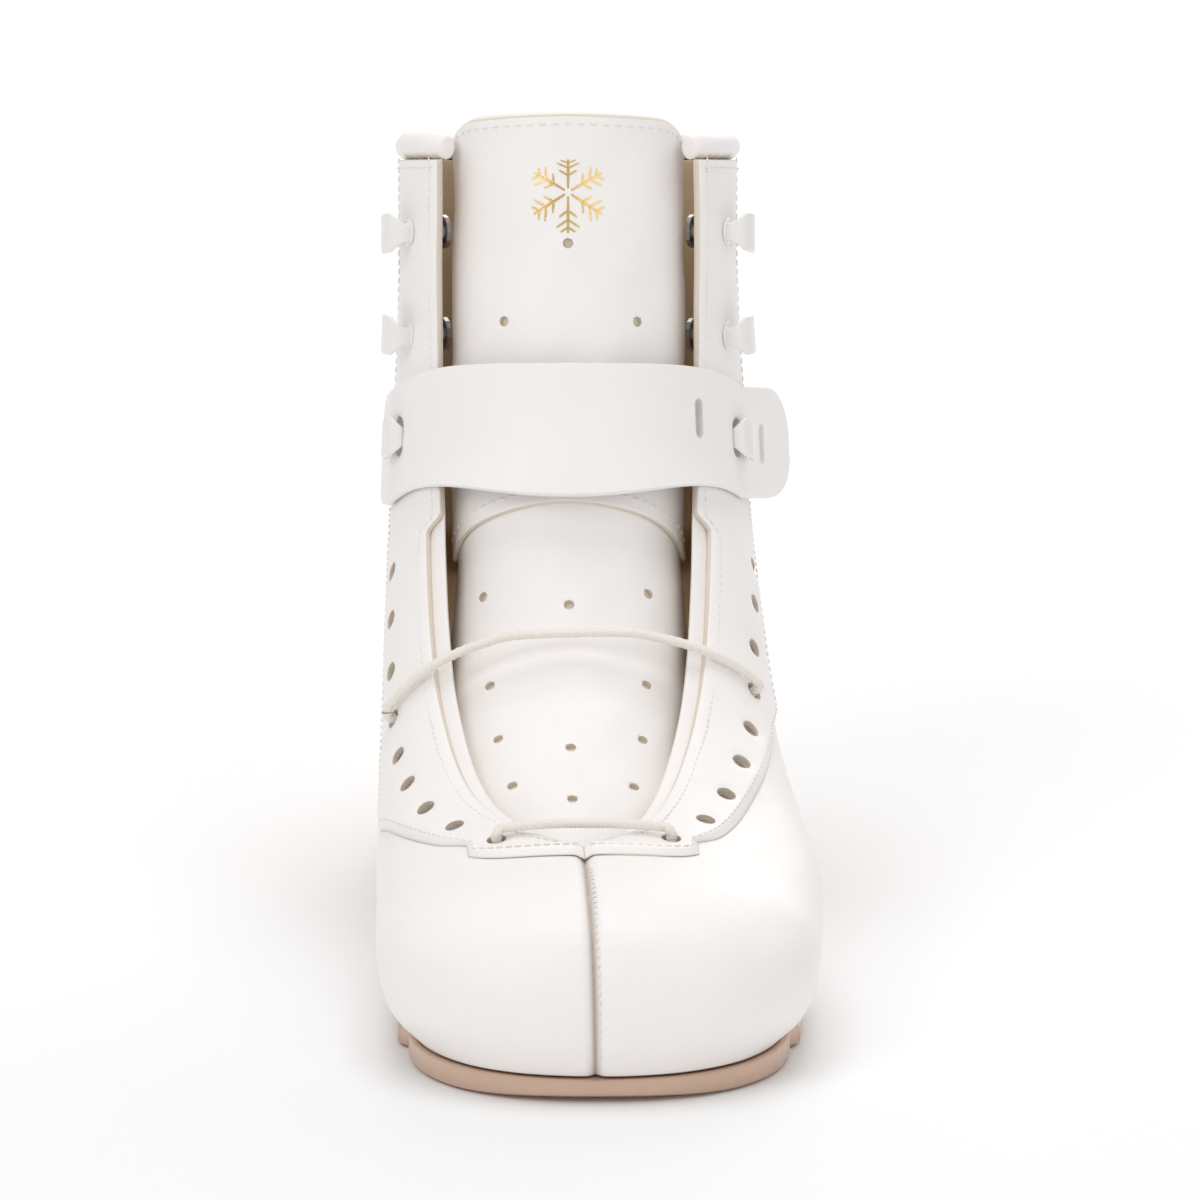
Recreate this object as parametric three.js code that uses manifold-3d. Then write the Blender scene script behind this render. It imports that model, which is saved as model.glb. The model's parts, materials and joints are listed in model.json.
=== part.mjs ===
// A leather skating boot for the right foot, without its blade.
//
// Millimetres. X runs to the medial side, Y runs back from the toe, Z runs up.
// The upper is a fan of sections. Every layer of the upper is the same fan, set in or out by its own offset,
// so the layers nest without touching.

import * as THREE from 'three';
import { mergeVertices } from 'three/addons/utils/BufferGeometryUtils.js';
import Module from 'manifold-3d';

const wasm = await Module();
wasm.setup();

// ---------------------------------------------------------------- Driving dimensions

const BOOT_LENGTH = 262; // toe tip to heel, measured over the upper
const BALL_WIDTH = 98.8; // widest place, at the ball of the foot
const COLLAR_HEIGHT = 176; // front corner of the collar above the ground

const CLEARANCE = 0.3; // between pieces that touch
const QUARTER_LEATHER = 1.8;
const STIFFENER = 1.2;
const LINING = 1.6;
const FACING = 1.5;
const BACK_STAY = 1.4;

const THROAT_HALF_GAP = 28.6; // half the opening between the facings
const THROAT_RUN = 105; // how far back the opening reaches its full width
const THROAT_FULLNESS = 2; // superellipse exponent of the opening's front end
const FACING_FRONT_MARGIN = 7; // facing leather in front of the throat
const FACING_SIDE_MARGIN = 5.2; // facing leather outside the lace holes
const FACING_FRONT_WIDTH = 0.62; // straight part of its front edge, as a share of the holes' half-width
const FACING_WIDEST = 0.975; // where the facing has to stop, as a share of a section's half-width

const LACE_HOLES = 9; // on each side
const LACE_PITCH = 14.8;
const LACE_HOLE_RADIUS = 2.2;
const LACE_INSET = 12; // from the throat's edge to the holes
const LACE_RUN = 80; // how far the rows take to spread out from the toe
const LACE_LEAD = 7.7; // the rows' curve starts this far in front of the throat
const LACE_START = 9.8; // and the first hole lies this far along it

const HOOK_HEIGHTS = [109.5, 132.5, 155.5]; // the strap's own pair first
const HOOK_INSET = 5.8; // from the throat's edge to the stems
const HOOK_STEM_RADIUS = 1.6;
const HOOK_WIDTH = 7.3;
const HOOK_REACH = 5.8;
const HOOK_THICKNESS = 1.7;
const WASHER_RADIUS = 3.8;
const WASHER_THICKNESS = 1;

const STRAP_WIDTH = 29.3;
const STRAP_DIP = 6.2; // how far its middle sags towards the instep between the hooks
const STRAP_THICKNESS = 2.2;
const STRAP_LATERAL_TAIL = 17; // past the lateral hook
const STRAP_MEDIAL_TAIL = 36; // past the medial hook
const STRAP_TAIL_LEAD = 7; // of that, still lying on the boot
const STRAP_TAIL_FLARE = 0.06; // how fast the rest leaves it
const STRAP_HINGE_INSET = 9; // from the lateral hook to the line that the strap bends on
const STRAP_HINGE_GAP = 1;
const SLOT_PITCH = 17;
const SLOT_LENGTH = 9;
const SLOT_WIDTH = 2.7;
const HOOKED_SLOT_WIDTH = 5.4; // stretched open by the hook's stem

const TIE_RADIUS = 1.4;
const TIE_KNOT_RADIUS = 2.7;
const INSTEP_TIE_HOLE = 5; // counted from the toe
const TOE_TIE_HOLE = 0;

const TONGUE_SHAFT_MARGIN = 2.9; // tongue narrower than the throat on each side, up the shaft
const TONGUE_VAMP_MARGIN = -0.4; // and hardly wider over the instep, where it lies deep
const TONGUE_COVER = 1.4;
const TONGUE_PADDING = 5;
const TONGUE_DROP = 2.6; // tongue's face below the facings' line
const TONGUE_SEAM_HEIGHT = 104; // the flex seam between its two halves
const TONGUE_SEAM_GAP = 1;
const TONGUE_RISE = 10; // above the front corner of the collar
const TONGUE_SHAFT_WRAP = 24; // how deep its sides curl in, up the shaft
const TONGUE_VAMP_WRAP = 15; // and over the instep
const TONGUE_TIP_DROP = 8.2; // its tip is tucked deeper under the throat's front end
const TONGUE_TIP_RUN = 1.1; // in sections
const TONGUE_TIP_WIDTH = 0.42; // of its full width
const TONGUE_TIP_WRAP = 0.35; // of its full wrap

const COLLAR_ROLL_HEIGHT = 5.8;
const COLLAR_ROLL_THICKNESS = 8.6;
const COLLAR_ROLL_GAP = 1; // above the cut edges of the leather
const COLLAR_ROLL_TAPER = 0.6; // of its size at the front corner

const SOLE_EDGE = 1.3; // sole standing out past the upper
const TOE_SPRING = 1.8; // sole lifted at the toe
const TOE_SPRING_RUN = 16;
const SOLE_THICKNESS = 4.5;
const BOARD = 2.2; // insole board
const FOOTBED = 2.6;
const SHANK_WIDTH = 15; // spring steel under the arch
const SHANK_THICKNESS = 1.1;
const SHANK_FROM = 92;
const SHANK_TO = 178;
const HEEL_BREAST = 200; // front of the heel, behind the toe tip
const HEEL_LIFT = 5;

// ---------------------------------------------------------------- The last: a fan of sections

// Each section runs from its front point, on the boot's front line, to its base point, on the sole's edge or on
// the back seam. centre is where its middle lies across the boot. medial and lateral are half-widths from there:
// [at the base, at the widest]. belly is how far up the section the widest place lies, and crown is how square
// the front is. Points are [behind the toe tip, up]. A section's values stand in the order of section().
const GRADED_FOR = { length: 262, width: 98.8, height: 176 };
function section(name, front, base, centre, medial, lateral, belly, crown) {
  return { name, front, base, centre, medial, lateral, belly, crown };
}
const SECTIONS = [
  section('toe_edge', [4, 5.5], [46, 6], -0.8, [40.9, 41.4], [39.3, 39.8], 0.02, 2.2),
  section('toe_bulge', [1.5, 19], [47, 6], -0.9, [41.2, 44.7], [39.4, 42.9], 0.25, 2.3),
  section('toe_shoulder', [9, 34.5], [48, 6], -1.4, [42.2, 48.3], [39.5, 45.5], 0.38, 2.3),
  section('toe_crown', [27, 42.5], [49.5, 5.5], -2.4, [44.2, 50.8], [39.3, 46], 0.48, 2.25),
  section('throat', [52, 45.5], [52, 5], -3.6, [46.6, 52.6], [39.4, 45.4], 0.5, 2.2),
  section('ball', [78, 51.5], [82, 4.8], -5.9, [49.2, 55.3], [37.4, 43.5], 0.5, 2.2),
  section('waist', [104, 65.5], [118, 6], -6.4, [43.4, 51.4], [35.6, 43], 0.45, 2.2),
  section('arch', [121, 80], [152, 16], -6.7, [33.7, 46.7], [31.3, 42.1], 0.47, 2.2),
  section('instep', [132, 95], [192, 42], -6.8, [27.8, 43.3], [29.2, 41.4], 0.45, 2.2),
  section('flex', [139, 109], [236, 57], -6.9, [25, 41.3], [26, 40.6], 0.42, 2.25),
  section('heel_back', [144, 121], [259, 60], -7, [23, 40.6], [24, 40], 0.45, 2.3),
  section('heel_bulge', [148, 134], [261, 84], -7, [0, 39.6], [0, 39.2], 0.47, 2.3),
  section('achilles', [152.5, 148], [255, 110.5], -7, [0, 38.4], [0, 38.4], 0.5, 2.3),
  section('shaft', [157, 162], [250.5, 136], -7, [0, 38], [0, 38.3], 0.5, 2.3),
  section('collar', [161, 176], [251, 157], -7, [0, 38], [0, 38.3], 0.5, 2.3),
];
const AT = Object.fromEntries(SECTIONS.map((section, index) => [section.name, index]));
const TOP = SECTIONS.length - 1;
const SEAM_HALF_GAP = CLEARANCE / 2;
const MEDIAL = 'medial';
const LATERAL = 'lateral';
const SIGN = { medial: 1, lateral: -1 };

const LONG = BOOT_LENGTH / GRADED_FOR.length;
const WIDE = BALL_WIDTH / GRADED_FOR.width;
const TALL = COLLAR_HEIGHT / GRADED_FOR.height;

// A Catmull-Rom value between the sections' own values.
function blend(u, read) {
  const step = Math.min(Math.max(Math.floor(u), 0), TOP - 1);
  const t = u - step;
  const value = (i) => read(SECTIONS[Math.min(Math.max(i, 0), TOP)]);
  const [a, b, c, d] = [value(step - 1), value(step), value(step + 1), value(step + 2)];
  return b + 0.5 * t * (c - a + t * (2 * a - 5 * b + 4 * c - d + t * (3 * (b - c) + d - a)));
}

// The sole's edge closes round the heel between the flex and heel_back sections.
function heelTurn(u) {
  return Math.min(Math.max((u - AT.flex) / (AT.heel_back - AT.flex), 0), 1);
}

function sectionAt(u) {
  const turn = heelTurn(u);
  const inTurn = turn > 0 && turn < 1;
  const uBase = inTurn ? AT.flex + Math.sin((turn * Math.PI) / 2) : u;
  const closing = Math.cos((turn * Math.PI) / 2);
  const side = (name) => ({
    base: Math.max(blend(u, (s) => s[name][0]) * WIDE * closing, SEAM_HALF_GAP),
    widest: blend(u, (s) => s[name][1]) * WIDE,
  });
  return {
    front: [blend(u, (s) => s.front[0]) * LONG, blend(u, (s) => s.front[1]) * TALL],
    base: [blend(uBase, (s) => s.base[0]) * LONG, blend(uBase, (s) => s.base[1]) * TALL],
    centre: blend(u, (s) => s.centre) * WIDE,
    medial: side(MEDIAL),
    lateral: side(LATERAL),
    belly: blend(u, (s) => s.belly),
    crown: blend(u, (s) => s.crown),
  };
}

// A point of the upper. angle runs from 0 at the front line to PI at the base. offset is out from the leather's
// face.
function upperPoint(side, u, angle, offset = 0) {
  const s = sectionAt(u);
  const along = [s.front[0] - s.base[0], s.front[1] - s.base[1]];
  const height = Math.hypot(...along);
  const direction = [along[0] / height, along[1] / height];
  const widest = s[side].widest + offset;
  const base = Math.min(s[side].base, widest);
  const middle = Math.max(s.belly * height, 1 - offset);
  const sine = Math.max(Math.sin(angle), 0);
  const cosine = Math.abs(Math.cos(angle));
  const upper = angle <= Math.PI / 2;
  const power = 2 / s.crown;
  const across = upper ? widest * sine ** power : base + (widest - base) * sine;
  const up = upper
    ? middle + (height + offset - middle) * cosine ** power
    : middle - (middle + offset) * cosine;
  const shift = SIGN[side] * Math.max(across, SEAM_HALF_GAP);
  return new THREE.Vector3(s.centre + shift, s.base[0] + direction[0] * up, s.base[1] + direction[1] * up);
}

// The angle at which a section, set out by offset, is `half` wide on its way from the front line.
function angleAtHalfWidth(side, u, half, offset = 0) {
  const s = sectionAt(u);
  return Math.asin(Math.min(half / (s[side].widest + offset), 1) ** (s.crown / 2));
}

// Where fn(x), which rises with x, reaches a value.
function solve(fn, value, low, high) {
  for (let i = 0; i < 40; i += 1) {
    const middle = (low + high) / 2;
    if (fn(middle) < value) low = middle;
    else high = middle;
  }
  return (low + high) / 2;
}

// The angle that lies `distance` further round the section, measured along the leather.
function angleFurther(side, u, angle, distance) {
  const step = Math.sign(distance) * 0.01;
  let point = upperPoint(side, u, angle);
  let travelled = 0;
  while (travelled < Math.abs(distance) && angle + step > 0 && angle + step < Math.PI) {
    angle += step;
    const next = upperPoint(side, u, angle);
    travelled += next.distanceTo(point);
    point = next;
  }
  return angle;
}

// A frame on the leather: at is the point, out its normal, up the way to the collar, and round the way to the
// back.
function frameAt(side, u, angle, offset = 0) {
  const point = (du, da) => upperPoint(side, u + du, angle + da, offset);
  const up = point(0.05, 0).sub(point(-0.05, 0)).normalize();
  const round = point(0, 0.02).sub(point(0, -0.02)).normalize();
  const out = new THREE.Vector3().crossVectors(up, round).normalize();
  if (side === MEDIAL) out.negate();
  const square = new THREE.Vector3().crossVectors(out, up).normalize();
  if (square.dot(round) < 0) square.negate();
  return { at: upperPoint(side, u, angle, offset), out, up, round: square };
}

const LACE_HALF_WIDTH = THROAT_HALF_GAP + LACE_INSET;
const HOOK_HALF_WIDTH = THROAT_HALF_GAP + HOOK_INSET;
const THROAT_FRONT = sectionAt(AT.throat).front[0];
const frontAt = (u) => sectionAt(u).front[0];

// ---------------------------------------------------------------- Lines drawn on the leather

function throatHalfGap(u) {
  const t = Math.min(Math.max((frontAt(u) - THROAT_FRONT) / THROAT_RUN, 0), 1);
  return THROAT_HALF_GAP * (1 - (1 - t) ** THROAT_FULLNESS) ** (1 / THROAT_FULLNESS);
}

function laceHalfWidth(u, margin = 0) {
  const start = THROAT_FRONT - LACE_LEAD - margin;
  const t = Math.min(Math.max(1 - (frontAt(u) - start) / (LACE_RUN + margin), 0), 1);
  return (LACE_HALF_WIDTH + margin) * Math.sqrt(1 - t * t);
}

const FACING_FRONT = solve(frontAt, THROAT_FRONT - FACING_FRONT_MARGIN, AT.toe_crown, AT.throat);

function throatAngle(side, u, offset = 0) {
  return u <= AT.throat ? 0 : angleAtHalfWidth(side, u, throatHalfGap(u), offset);
}

function facingAngle(side, u) {
  const flare = Math.max(FACING_FRONT, u);
  const half = Math.max(laceHalfWidth(flare, FACING_SIDE_MARGIN), FACING_FRONT_WIDTH * LACE_HALF_WIDTH);
  return angleAtHalfWidth(side, flare, Math.min(half, FACING_WIDEST * sectionAt(flare)[side].widest));
}

// ---------------------------------------------------------------- Layers of the upper

const ROWS = [0, 0.35, 1, 1.6, 2.2, 2.8, 3.3, FACING_FRONT, 4, 4.06, 4.2, 4.5, 5, 5.6, 6.3, 7, 7.7, 8.4, 9, 9.35, 9.7,
  10, 10.5, 11.2, 11.6, 12.2, 13, 14];
const BODY_COLUMNS = [0.16, 0.32, 0.48, 0.63, 0.76, 0.88, 1];
const FACING_COLUMNS = [0, 0.5, 1];

// The columns of one row, front to back, as angles. The facing's columns come first.
function columnAngles(side, u, offset) {
  const from = throatAngle(side, u, offset);
  const to = facingAngle(side, u);
  const facing = FACING_COLUMNS.map((f) => from + (to - from) * f);
  return [...facing, ...BODY_COLUMNS.map((f) => to + (Math.PI - to) * f)];
}
const COLUMNS = FACING_COLUMNS.length + BODY_COLUMNS.length;
const FACING_LAST = FACING_COLUMNS.length - 1;

const layer = (outer, thickness) => ({ outer, inner: outer - thickness });
const QUARTER_LAYER = layer(0, QUARTER_LEATHER);
const STIFFENER_LAYER = layer(QUARTER_LAYER.inner - CLEARANCE, STIFFENER);
const LINING_LAYER = layer(STIFFENER_LAYER.inner - CLEARANCE, LINING);
const FACING_LAYER = layer(CLEARANCE + FACING, FACING);
const BACK_STAY_LAYER = layer(CLEARANCE + BACK_STAY, BACK_STAY);
const STRAP_LAYER = layer(FACING_LAYER.outer + CLEARANCE + STRAP_THICKNESS, STRAP_THICKNESS);

// A closed solid through rings of points. Each ring is a ladder: its first half is faced by its second, reversed.
// leans(j) says which way the facets after point j are split.
function loft(rings, leans = () => true) {
  const size = rings[0].length;
  const index = [];
  for (let i = 0; i < rings.length - 1; i += 1) {
    for (let j = 0; j < size; j += 1) {
      const [a, b] = [i * size + j, i * size + ((j + 1) % size)];
      if (leans(j)) index.push(a, b, b + size, a, b + size, a + size);
      else index.push(a, b, a + size, b, b + size, a + size);
    }
  }
  const cap = (start, turned) => {
    for (let j = 0; j < size / 2 - 1; j += 1) {
      const [a, b, c, d] = [start + j, start + j + 1, start + size - 2 - j, start + size - 1 - j];
      index.push(...(turned ? [a, b, c, a, c, d] : [a, c, b, a, d, c]));
    }
  };
  cap(0, false);
  cap((rings.length - 1) * size, true);
  const geometry = new THREE.BufferGeometry();
  const places = rings.flat().flatMap((p) => p.toArray());
  geometry.setAttribute('position', new THREE.Float32BufferAttribute(places, 3));
  geometry.setIndex(index);
  return facingOut(geometry);
}

function facingOut(geometry) {
  const [p, index] = [geometry.attributes.position, geometry.index.array];
  const corner = (i) => new THREE.Vector3().fromBufferAttribute(p, index[i]);
  let volume = 0;
  for (let i = 0; i < index.length; i += 3) volume += corner(i).dot(corner(i + 1).cross(corner(i + 2)));
  if (volume < 0) geometry.setIndex(Array.from(index).reverse());
  return geometry;
}

// A layer of the upper over some rows, through places of the form { side, column }. All the layers split their
// facets the same way, from the front to the back, so that they nest.
function upperLayer(rows, places, { outer, inner }) {
  const line = (u, offset) => places.map(({ side, column }) => (
    upperPoint(side, u, columnAngles(side, u, offset)[column], offset)));
  const columns = places.map(({ column }) => column);
  const order = [...columns, ...columns.slice().reverse()];
  const leans = (j) => order[(j + 1) % order.length] > order[j];
  return loft(rows.map((u) => [...line(u, outer), ...line(u, inner).reverse()]), leans);
}

const rowsBetween = (from, to) => ROWS.filter((u) => u >= from && u <= to);
const span = (side, from, to) =>
  Array.from({ length: to - from + 1 }, (_, i) => ({ side, column: from + i }));

// ---------------------------------------------------------------- Cutting and joining

function solidOf(geometry) {
  const plain = geometry.clone();
  for (const name of ['normal', 'uv']) plain.deleteAttribute(name);
  const merged = mergeVertices(plain, 1e-4);
  return new wasm.Manifold(new wasm.Mesh({
    numProp: 3,
    vertProperties: Float32Array.from(merged.attributes.position.array),
    triVerts: Uint32Array.from(merged.index.array),
  }));
}

function geometryOf(solid) {
  const mesh = solid.getMesh();
  const geometry = new THREE.BufferGeometry();
  geometry.setAttribute('position', new THREE.BufferAttribute(mesh.vertProperties, 3));
  geometry.setIndex(new THREE.BufferAttribute(mesh.triVerts, 1));
  return geometry;
}

function cut(geometry, cutters) {
  return geometryOf(cutters.reduce((solid, cutter) => solid.subtract(solidOf(cutter)), solidOf(geometry)));
}

function join(geometries) {
  return geometryOf(geometries.map(solidOf).reduce((a, b) => a.add(b)));
}

// Turns a geometry's own X, Y and Z to the frame's round, up and out, and moves it to `height` above the frame.
function place(geometry, frame, height = 0) {
  const x = new THREE.Vector3().crossVectors(frame.up, frame.out);
  const matrix = new THREE.Matrix4().makeBasis(x, frame.up, frame.out);
  matrix.setPosition(frame.at.clone().addScaledVector(frame.out, height));
  return geometry.applyMatrix4(matrix);
}

// A rod along the frame's normal, from one height to another.
function rod(frame, radius, from, to, sides = 8) {
  const geometry = new THREE.CylinderGeometry(radius, radius, to - from, sides).rotateX(Math.PI / 2);
  return place(geometry, frame, (from + to) / 2);
}

// ---------------------------------------------------------------- Places for lace holes and hooks

const LACE_SHARE = { [MEDIAL]: 1, [LATERAL]: 0.955 };
const laceAngle = (side, u) => angleAtHalfWidth(side, u, laceHalfWidth(u) * LACE_SHARE[side]);

// Lace holes at equal steps along their line, from the toe up.
function laceHolePlaces(side) {
  const uAtBack = (back) => solve(frontAt, back, AT.toe_crown, TOP);
  let u = uAtBack(THROAT_FRONT - LACE_LEAD + LACE_START);
  let point = upperPoint(side, u, laceAngle(side, u));
  const places = [{ side, u, angle: laceAngle(side, u) }];
  let travelled = 0;
  while (places.length < LACE_HOLES) {
    u += 0.01;
    const next = upperPoint(side, u, laceAngle(side, u));
    travelled += next.distanceTo(point);
    point = next;
    if (travelled >= LACE_PITCH * places.length) places.push({ side, u, angle: laceAngle(side, u) });
  }
  return places;
}

function hookPlace(side, height) {
  const angle = (u) => angleAtHalfWidth(side, u, HOOK_HALF_WIDTH);
  const u = solve((v) => upperPoint(side, v, angle(v)).z, height * TALL, AT.waist, TOP);
  return { side, u, angle: angle(u) };
}

const LACES = { medial: laceHolePlaces(MEDIAL), lateral: laceHolePlaces(LATERAL) };
const HOOKS = {
  medial: HOOK_HEIGHTS.map((height) => hookPlace(MEDIAL, height)),
  lateral: HOOK_HEIGHTS.map((height) => hookPlace(LATERAL, height)),
};
const frameOf = ({ side, u, angle }, offset = 0) => frameAt(side, u, angle, offset);
const PUNCH_FROM = LINING_LAYER.inner - 6;
const PUNCH_TO = FACING_LAYER.outer + 6;

function punches(side) {
  const lace = LACES[side].map((hole) => rod(frameOf(hole), LACE_HOLE_RADIUS, PUNCH_FROM, PUNCH_TO, 6));
  const hook = HOOKS[side].map((hole) => rod(frameOf(hole), HOOK_STEM_RADIUS + 0.5, PUNCH_FROM, PUNCH_TO));
  return [...lace, ...hook];
}

// ---------------------------------------------------------------- Materials

const leatherWhite = () => new THREE.MeshStandardMaterial({ color: 0xf7f2ec, roughness: 0.5, metalness: 0 });
const liningTan = () => new THREE.MeshStandardMaterial({ color: 0xc1a077, roughness: 0.85, metalness: 0 });
const soleBronze = () => new THREE.MeshStandardMaterial({ color: 0xc6a890, roughness: 0.4, metalness: 0.6 });
const soleBlack = () => new THREE.MeshStandardMaterial({ color: 0x2a2826, roughness: 0.7, metalness: 0 });
const boardBrown = () => new THREE.MeshStandardMaterial({ color: 0x8c7355, roughness: 0.9, metalness: 0 });
const hookWhite = () => new THREE.MeshStandardMaterial({ color: 0xf4f2ee, roughness: 0.3, metalness: 0 });
const steel = () => new THREE.MeshStandardMaterial({ color: 0xb8babd, roughness: 0.35, metalness: 0.9 });
const foamCream = () => new THREE.MeshStandardMaterial({ color: 0xe9dfcb, roughness: 0.95, metalness: 0 });
const cordWhite = () => new THREE.MeshStandardMaterial({ color: 0xf5ede2, roughness: 0.8, metalness: 0 });

const boot = new THREE.Group();

function addPiece(name, geometry, material) {
  const mesh = new THREE.Mesh(geometry, material);
  mesh.name = name;
  boot.add(mesh);
}

// ---------------------------------------------------------------- Upper, linings and stiffeners

for (const side of [MEDIAL, LATERAL]) {
  const holes = punches(side);
  const body = span(side, 0, COLUMNS - 1);
  addPiece(`quarter_${side}`, cut(upperLayer(ROWS, body, QUARTER_LAYER), holes), leatherWhite());
  addPiece(`lining_${side}`, cut(upperLayer(ROWS, body, LINING_LAYER), holes), liningTan());
  const facing = upperLayer(rowsBetween(FACING_FRONT, TOP), span(side, 0, FACING_LAST), FACING_LAYER);
  addPiece(`facing_${side}`, cut(facing, holes), leatherWhite());
  const ankle = upperLayer(rowsBetween(11.6, 13), span(side, FACING_LAST + 1, COLUMNS - 2), STIFFENER_LAYER);
  addPiece(`ankle_padding_${side}`, ankle, foamCream());
}

function acrossFront(lastColumn) {
  return [...span(LATERAL, 0, lastColumn).reverse(), ...span(MEDIAL, 0, lastColumn)];
}

function acrossBack(firstColumn) {
  return [...span(MEDIAL, firstColumn, COLUMNS - 1), ...span(LATERAL, firstColumn, COLUMNS - 1).reverse()];
}

const PUFF_ROWS = rowsBetween(0, 3.3);
addPiece('toe_puff', upperLayer(PUFF_ROWS, acrossFront(FACING_LAST + 2), STIFFENER_LAYER), foamCream());
const COUNTER_ROWS = rowsBetween(AT.heel_back, 11.2);
const counterPlaces = acrossBack(FACING_LAST + 3);
const stayPlaces = acrossBack(COLUMNS - 2);
addPiece('heel_counter', upperLayer(COUNTER_ROWS, counterPlaces, STIFFENER_LAYER), boardBrown());
addPiece('back_stay', upperLayer(rowsBetween(10.5, TOP), stayPlaces, BACK_STAY_LAYER), leatherWhite());

// A padded roll rests on the collar's edge, on each side.
function collarRoll(side) {
  const middle = (FACING_LAYER.outer + LINING_LAYER.inner) / 2;
  const [first, last] = [throatAngle(side, TOP), Math.PI];
  const steps = 9;
  const half = [COLLAR_ROLL_THICKNESS / 2, COLLAR_ROLL_HEIGHT / 2];
  const rings = Array.from({ length: steps + 1 }, (_, i) => {
    const angle = first + ((last - first) * i) / steps;
    const { out } = frameAt(side, TOP, Math.min(angle, last - 0.03), middle);
    const centre = upperPoint(side, TOP, angle, middle);
    const level = new THREE.Vector3(out.x, out.y, 0).normalize();
    const taper = i === 0 ? COLLAR_ROLL_TAPER : 1;
    return Array.from({ length: 8 }, (__, k) => {
      const turn = ((k + 0.5) / 8) * 2 * Math.PI;
      const ring = centre.clone().addScaledVector(level, half[0] * taper * Math.cos(turn));
      return ring.setZ(centre.z + COLLAR_ROLL_GAP + half[1] * (1 + taper * Math.sin(turn)));
    });
  });
  return loft(rings);
}
for (const side of [MEDIAL, LATERAL]) addPiece(`collar_roll_${side}`, collarRoll(side), leatherWhite());

// ---------------------------------------------------------------- Sole and heel

// The sole's edge on one side, toe to heel, set out by `outset`: points of [behind the toe, half across, up].
function solePath(side, outset) {
  const toe = Array.from({ length: 18 }, (_, i) => upperPoint(side, 0, (Math.PI * 0.98 * i) / 17));
  const wall = ROWS.filter((u) => u > 0 && u <= AT.heel_back).map((u) => upperPoint(side, u, Math.PI));
  const points = [...toe, ...wall];
  return points.map((point, i) => {
    const before = points[Math.max(i - 1, 0)];
    const after = points[Math.min(i + 1, points.length - 1)];
    const run = new THREE.Vector2(after.y - before.y, after.x - before.x).normalize();
    const x = point.x + SIGN[side] * Math.abs(run.x) * outset;
    return [point.y - SIGN[side] * run.y * outset, x, point.z];
  });
}

function readPath(path, back, column) {
  let i = 1;
  while (i < path.length - 1 && path[i][0] < back) i += 1;
  const [before, after] = [path[i - 1], path[i]];
  const t = Math.min(Math.max((back - before[0]) / Math.max(after[0] - before[0], 1e-6), 0), 1);
  return before[column] + (after[column] - before[column]) * t;
}

// A layer of the sole between two places along the boot. top and bottom are heights at each place.
function soleLayer({ from, to, outset, top, bottom, steps = 26, halfWidth = Infinity }) {
  const paths = { medial: solePath(MEDIAL, outset), lateral: solePath(LATERAL, outset) };
  const ends = [Math.max(from, paths.medial[0][0]), Math.min(to, paths.medial.at(-1)[0])];
  const rings = Array.from({ length: steps + 1 }, (_, i) => {
    const t = 0.5 - 0.5 * Math.cos(Math.PI * (0.04 + (0.92 * i) / steps));
    const back = ends[0] + (ends[1] - ends[0]) * t;
    const centre = (readPath(paths.medial, back, 1) + readPath(paths.lateral, back, 1)) / 2;
    const medial = Math.min(readPath(paths.medial, back, 1), centre + halfWidth);
    const lateral = Math.max(readPath(paths.lateral, back, 1), centre - halfWidth);
    const corner = (x, z) => new THREE.Vector3(x, back, z);
    const [high, low] = [top(back), bottom(back)];
    return [corner(lateral, high), corner(medial, high), corner(medial, low), corner(lateral, low)];
  });
  return loft(rings);
}

const SEAT_PATH = solePath(MEDIAL, 0);
const seat = (back) => readPath(SEAT_PATH, back, 2);
const soleTop = (back) => seat(back) - 2 * CLEARANCE;
const BREAST = HEEL_BREAST * LONG;
const FLAT_END = sectionAt(AT.waist).base[0];
const smooth = (t) => t * t * (3 - 2 * t);

// The underside is flat under the forefoot, springs up at the toe, and rises under the arch to the heel.
function soleBottom(back) {
  const spring = Math.max(1 - back / TOE_SPRING_RUN, 0) ** 2 * TOE_SPRING;
  const rise = smooth(Math.min(Math.max((back - FLAT_END + 10) / 25, 0), 1));
  return spring + rise * Math.max(soleTop(back) - SOLE_THICKNESS, 0);
}

const SOLE_STEPS = 40;
const outsole = soleLayer({
  from: 0,
  to: BOOT_LENGTH,
  outset: SOLE_EDGE,
  top: soleTop,
  bottom: soleBottom,
  steps: SOLE_STEPS,
});
addPiece('outsole', outsole, soleBronze());

const boardBottom = (back) => seat(back) + CLEARANCE;
const boardTop = (back) => boardBottom(back) + BOARD;
const boardInset = LINING_LAYER.inner - CLEARANCE;
const board = soleLayer({ from: 0, to: BOOT_LENGTH, outset: boardInset, top: boardTop, bottom: boardBottom });

// The shank lies in a recess under the board. spare is the room left round it.
function shankLayer(spare) {
  return soleLayer({
    from: SHANK_FROM * LONG - spare,
    to: SHANK_TO * LONG + spare,
    outset: boardInset,
    halfWidth: SHANK_WIDTH / 2 + spare,
    top: (back) => seat(back) + SHANK_THICKNESS + spare,
    bottom: (back) => seat(back) - spare,
  });
}
addPiece('insole_board', cut(board, [shankLayer(CLEARANCE)]), boardBrown());
addPiece('shank', shankLayer(0), steel());
addPiece('footbed', soleLayer({
  from: 0,
  to: BOOT_LENGTH,
  outset: boardInset,
  top: (back) => boardTop(back) + CLEARANCE + FOOTBED,
  bottom: (back) => boardTop(back) + CLEARANCE,
}), liningTan());

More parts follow.
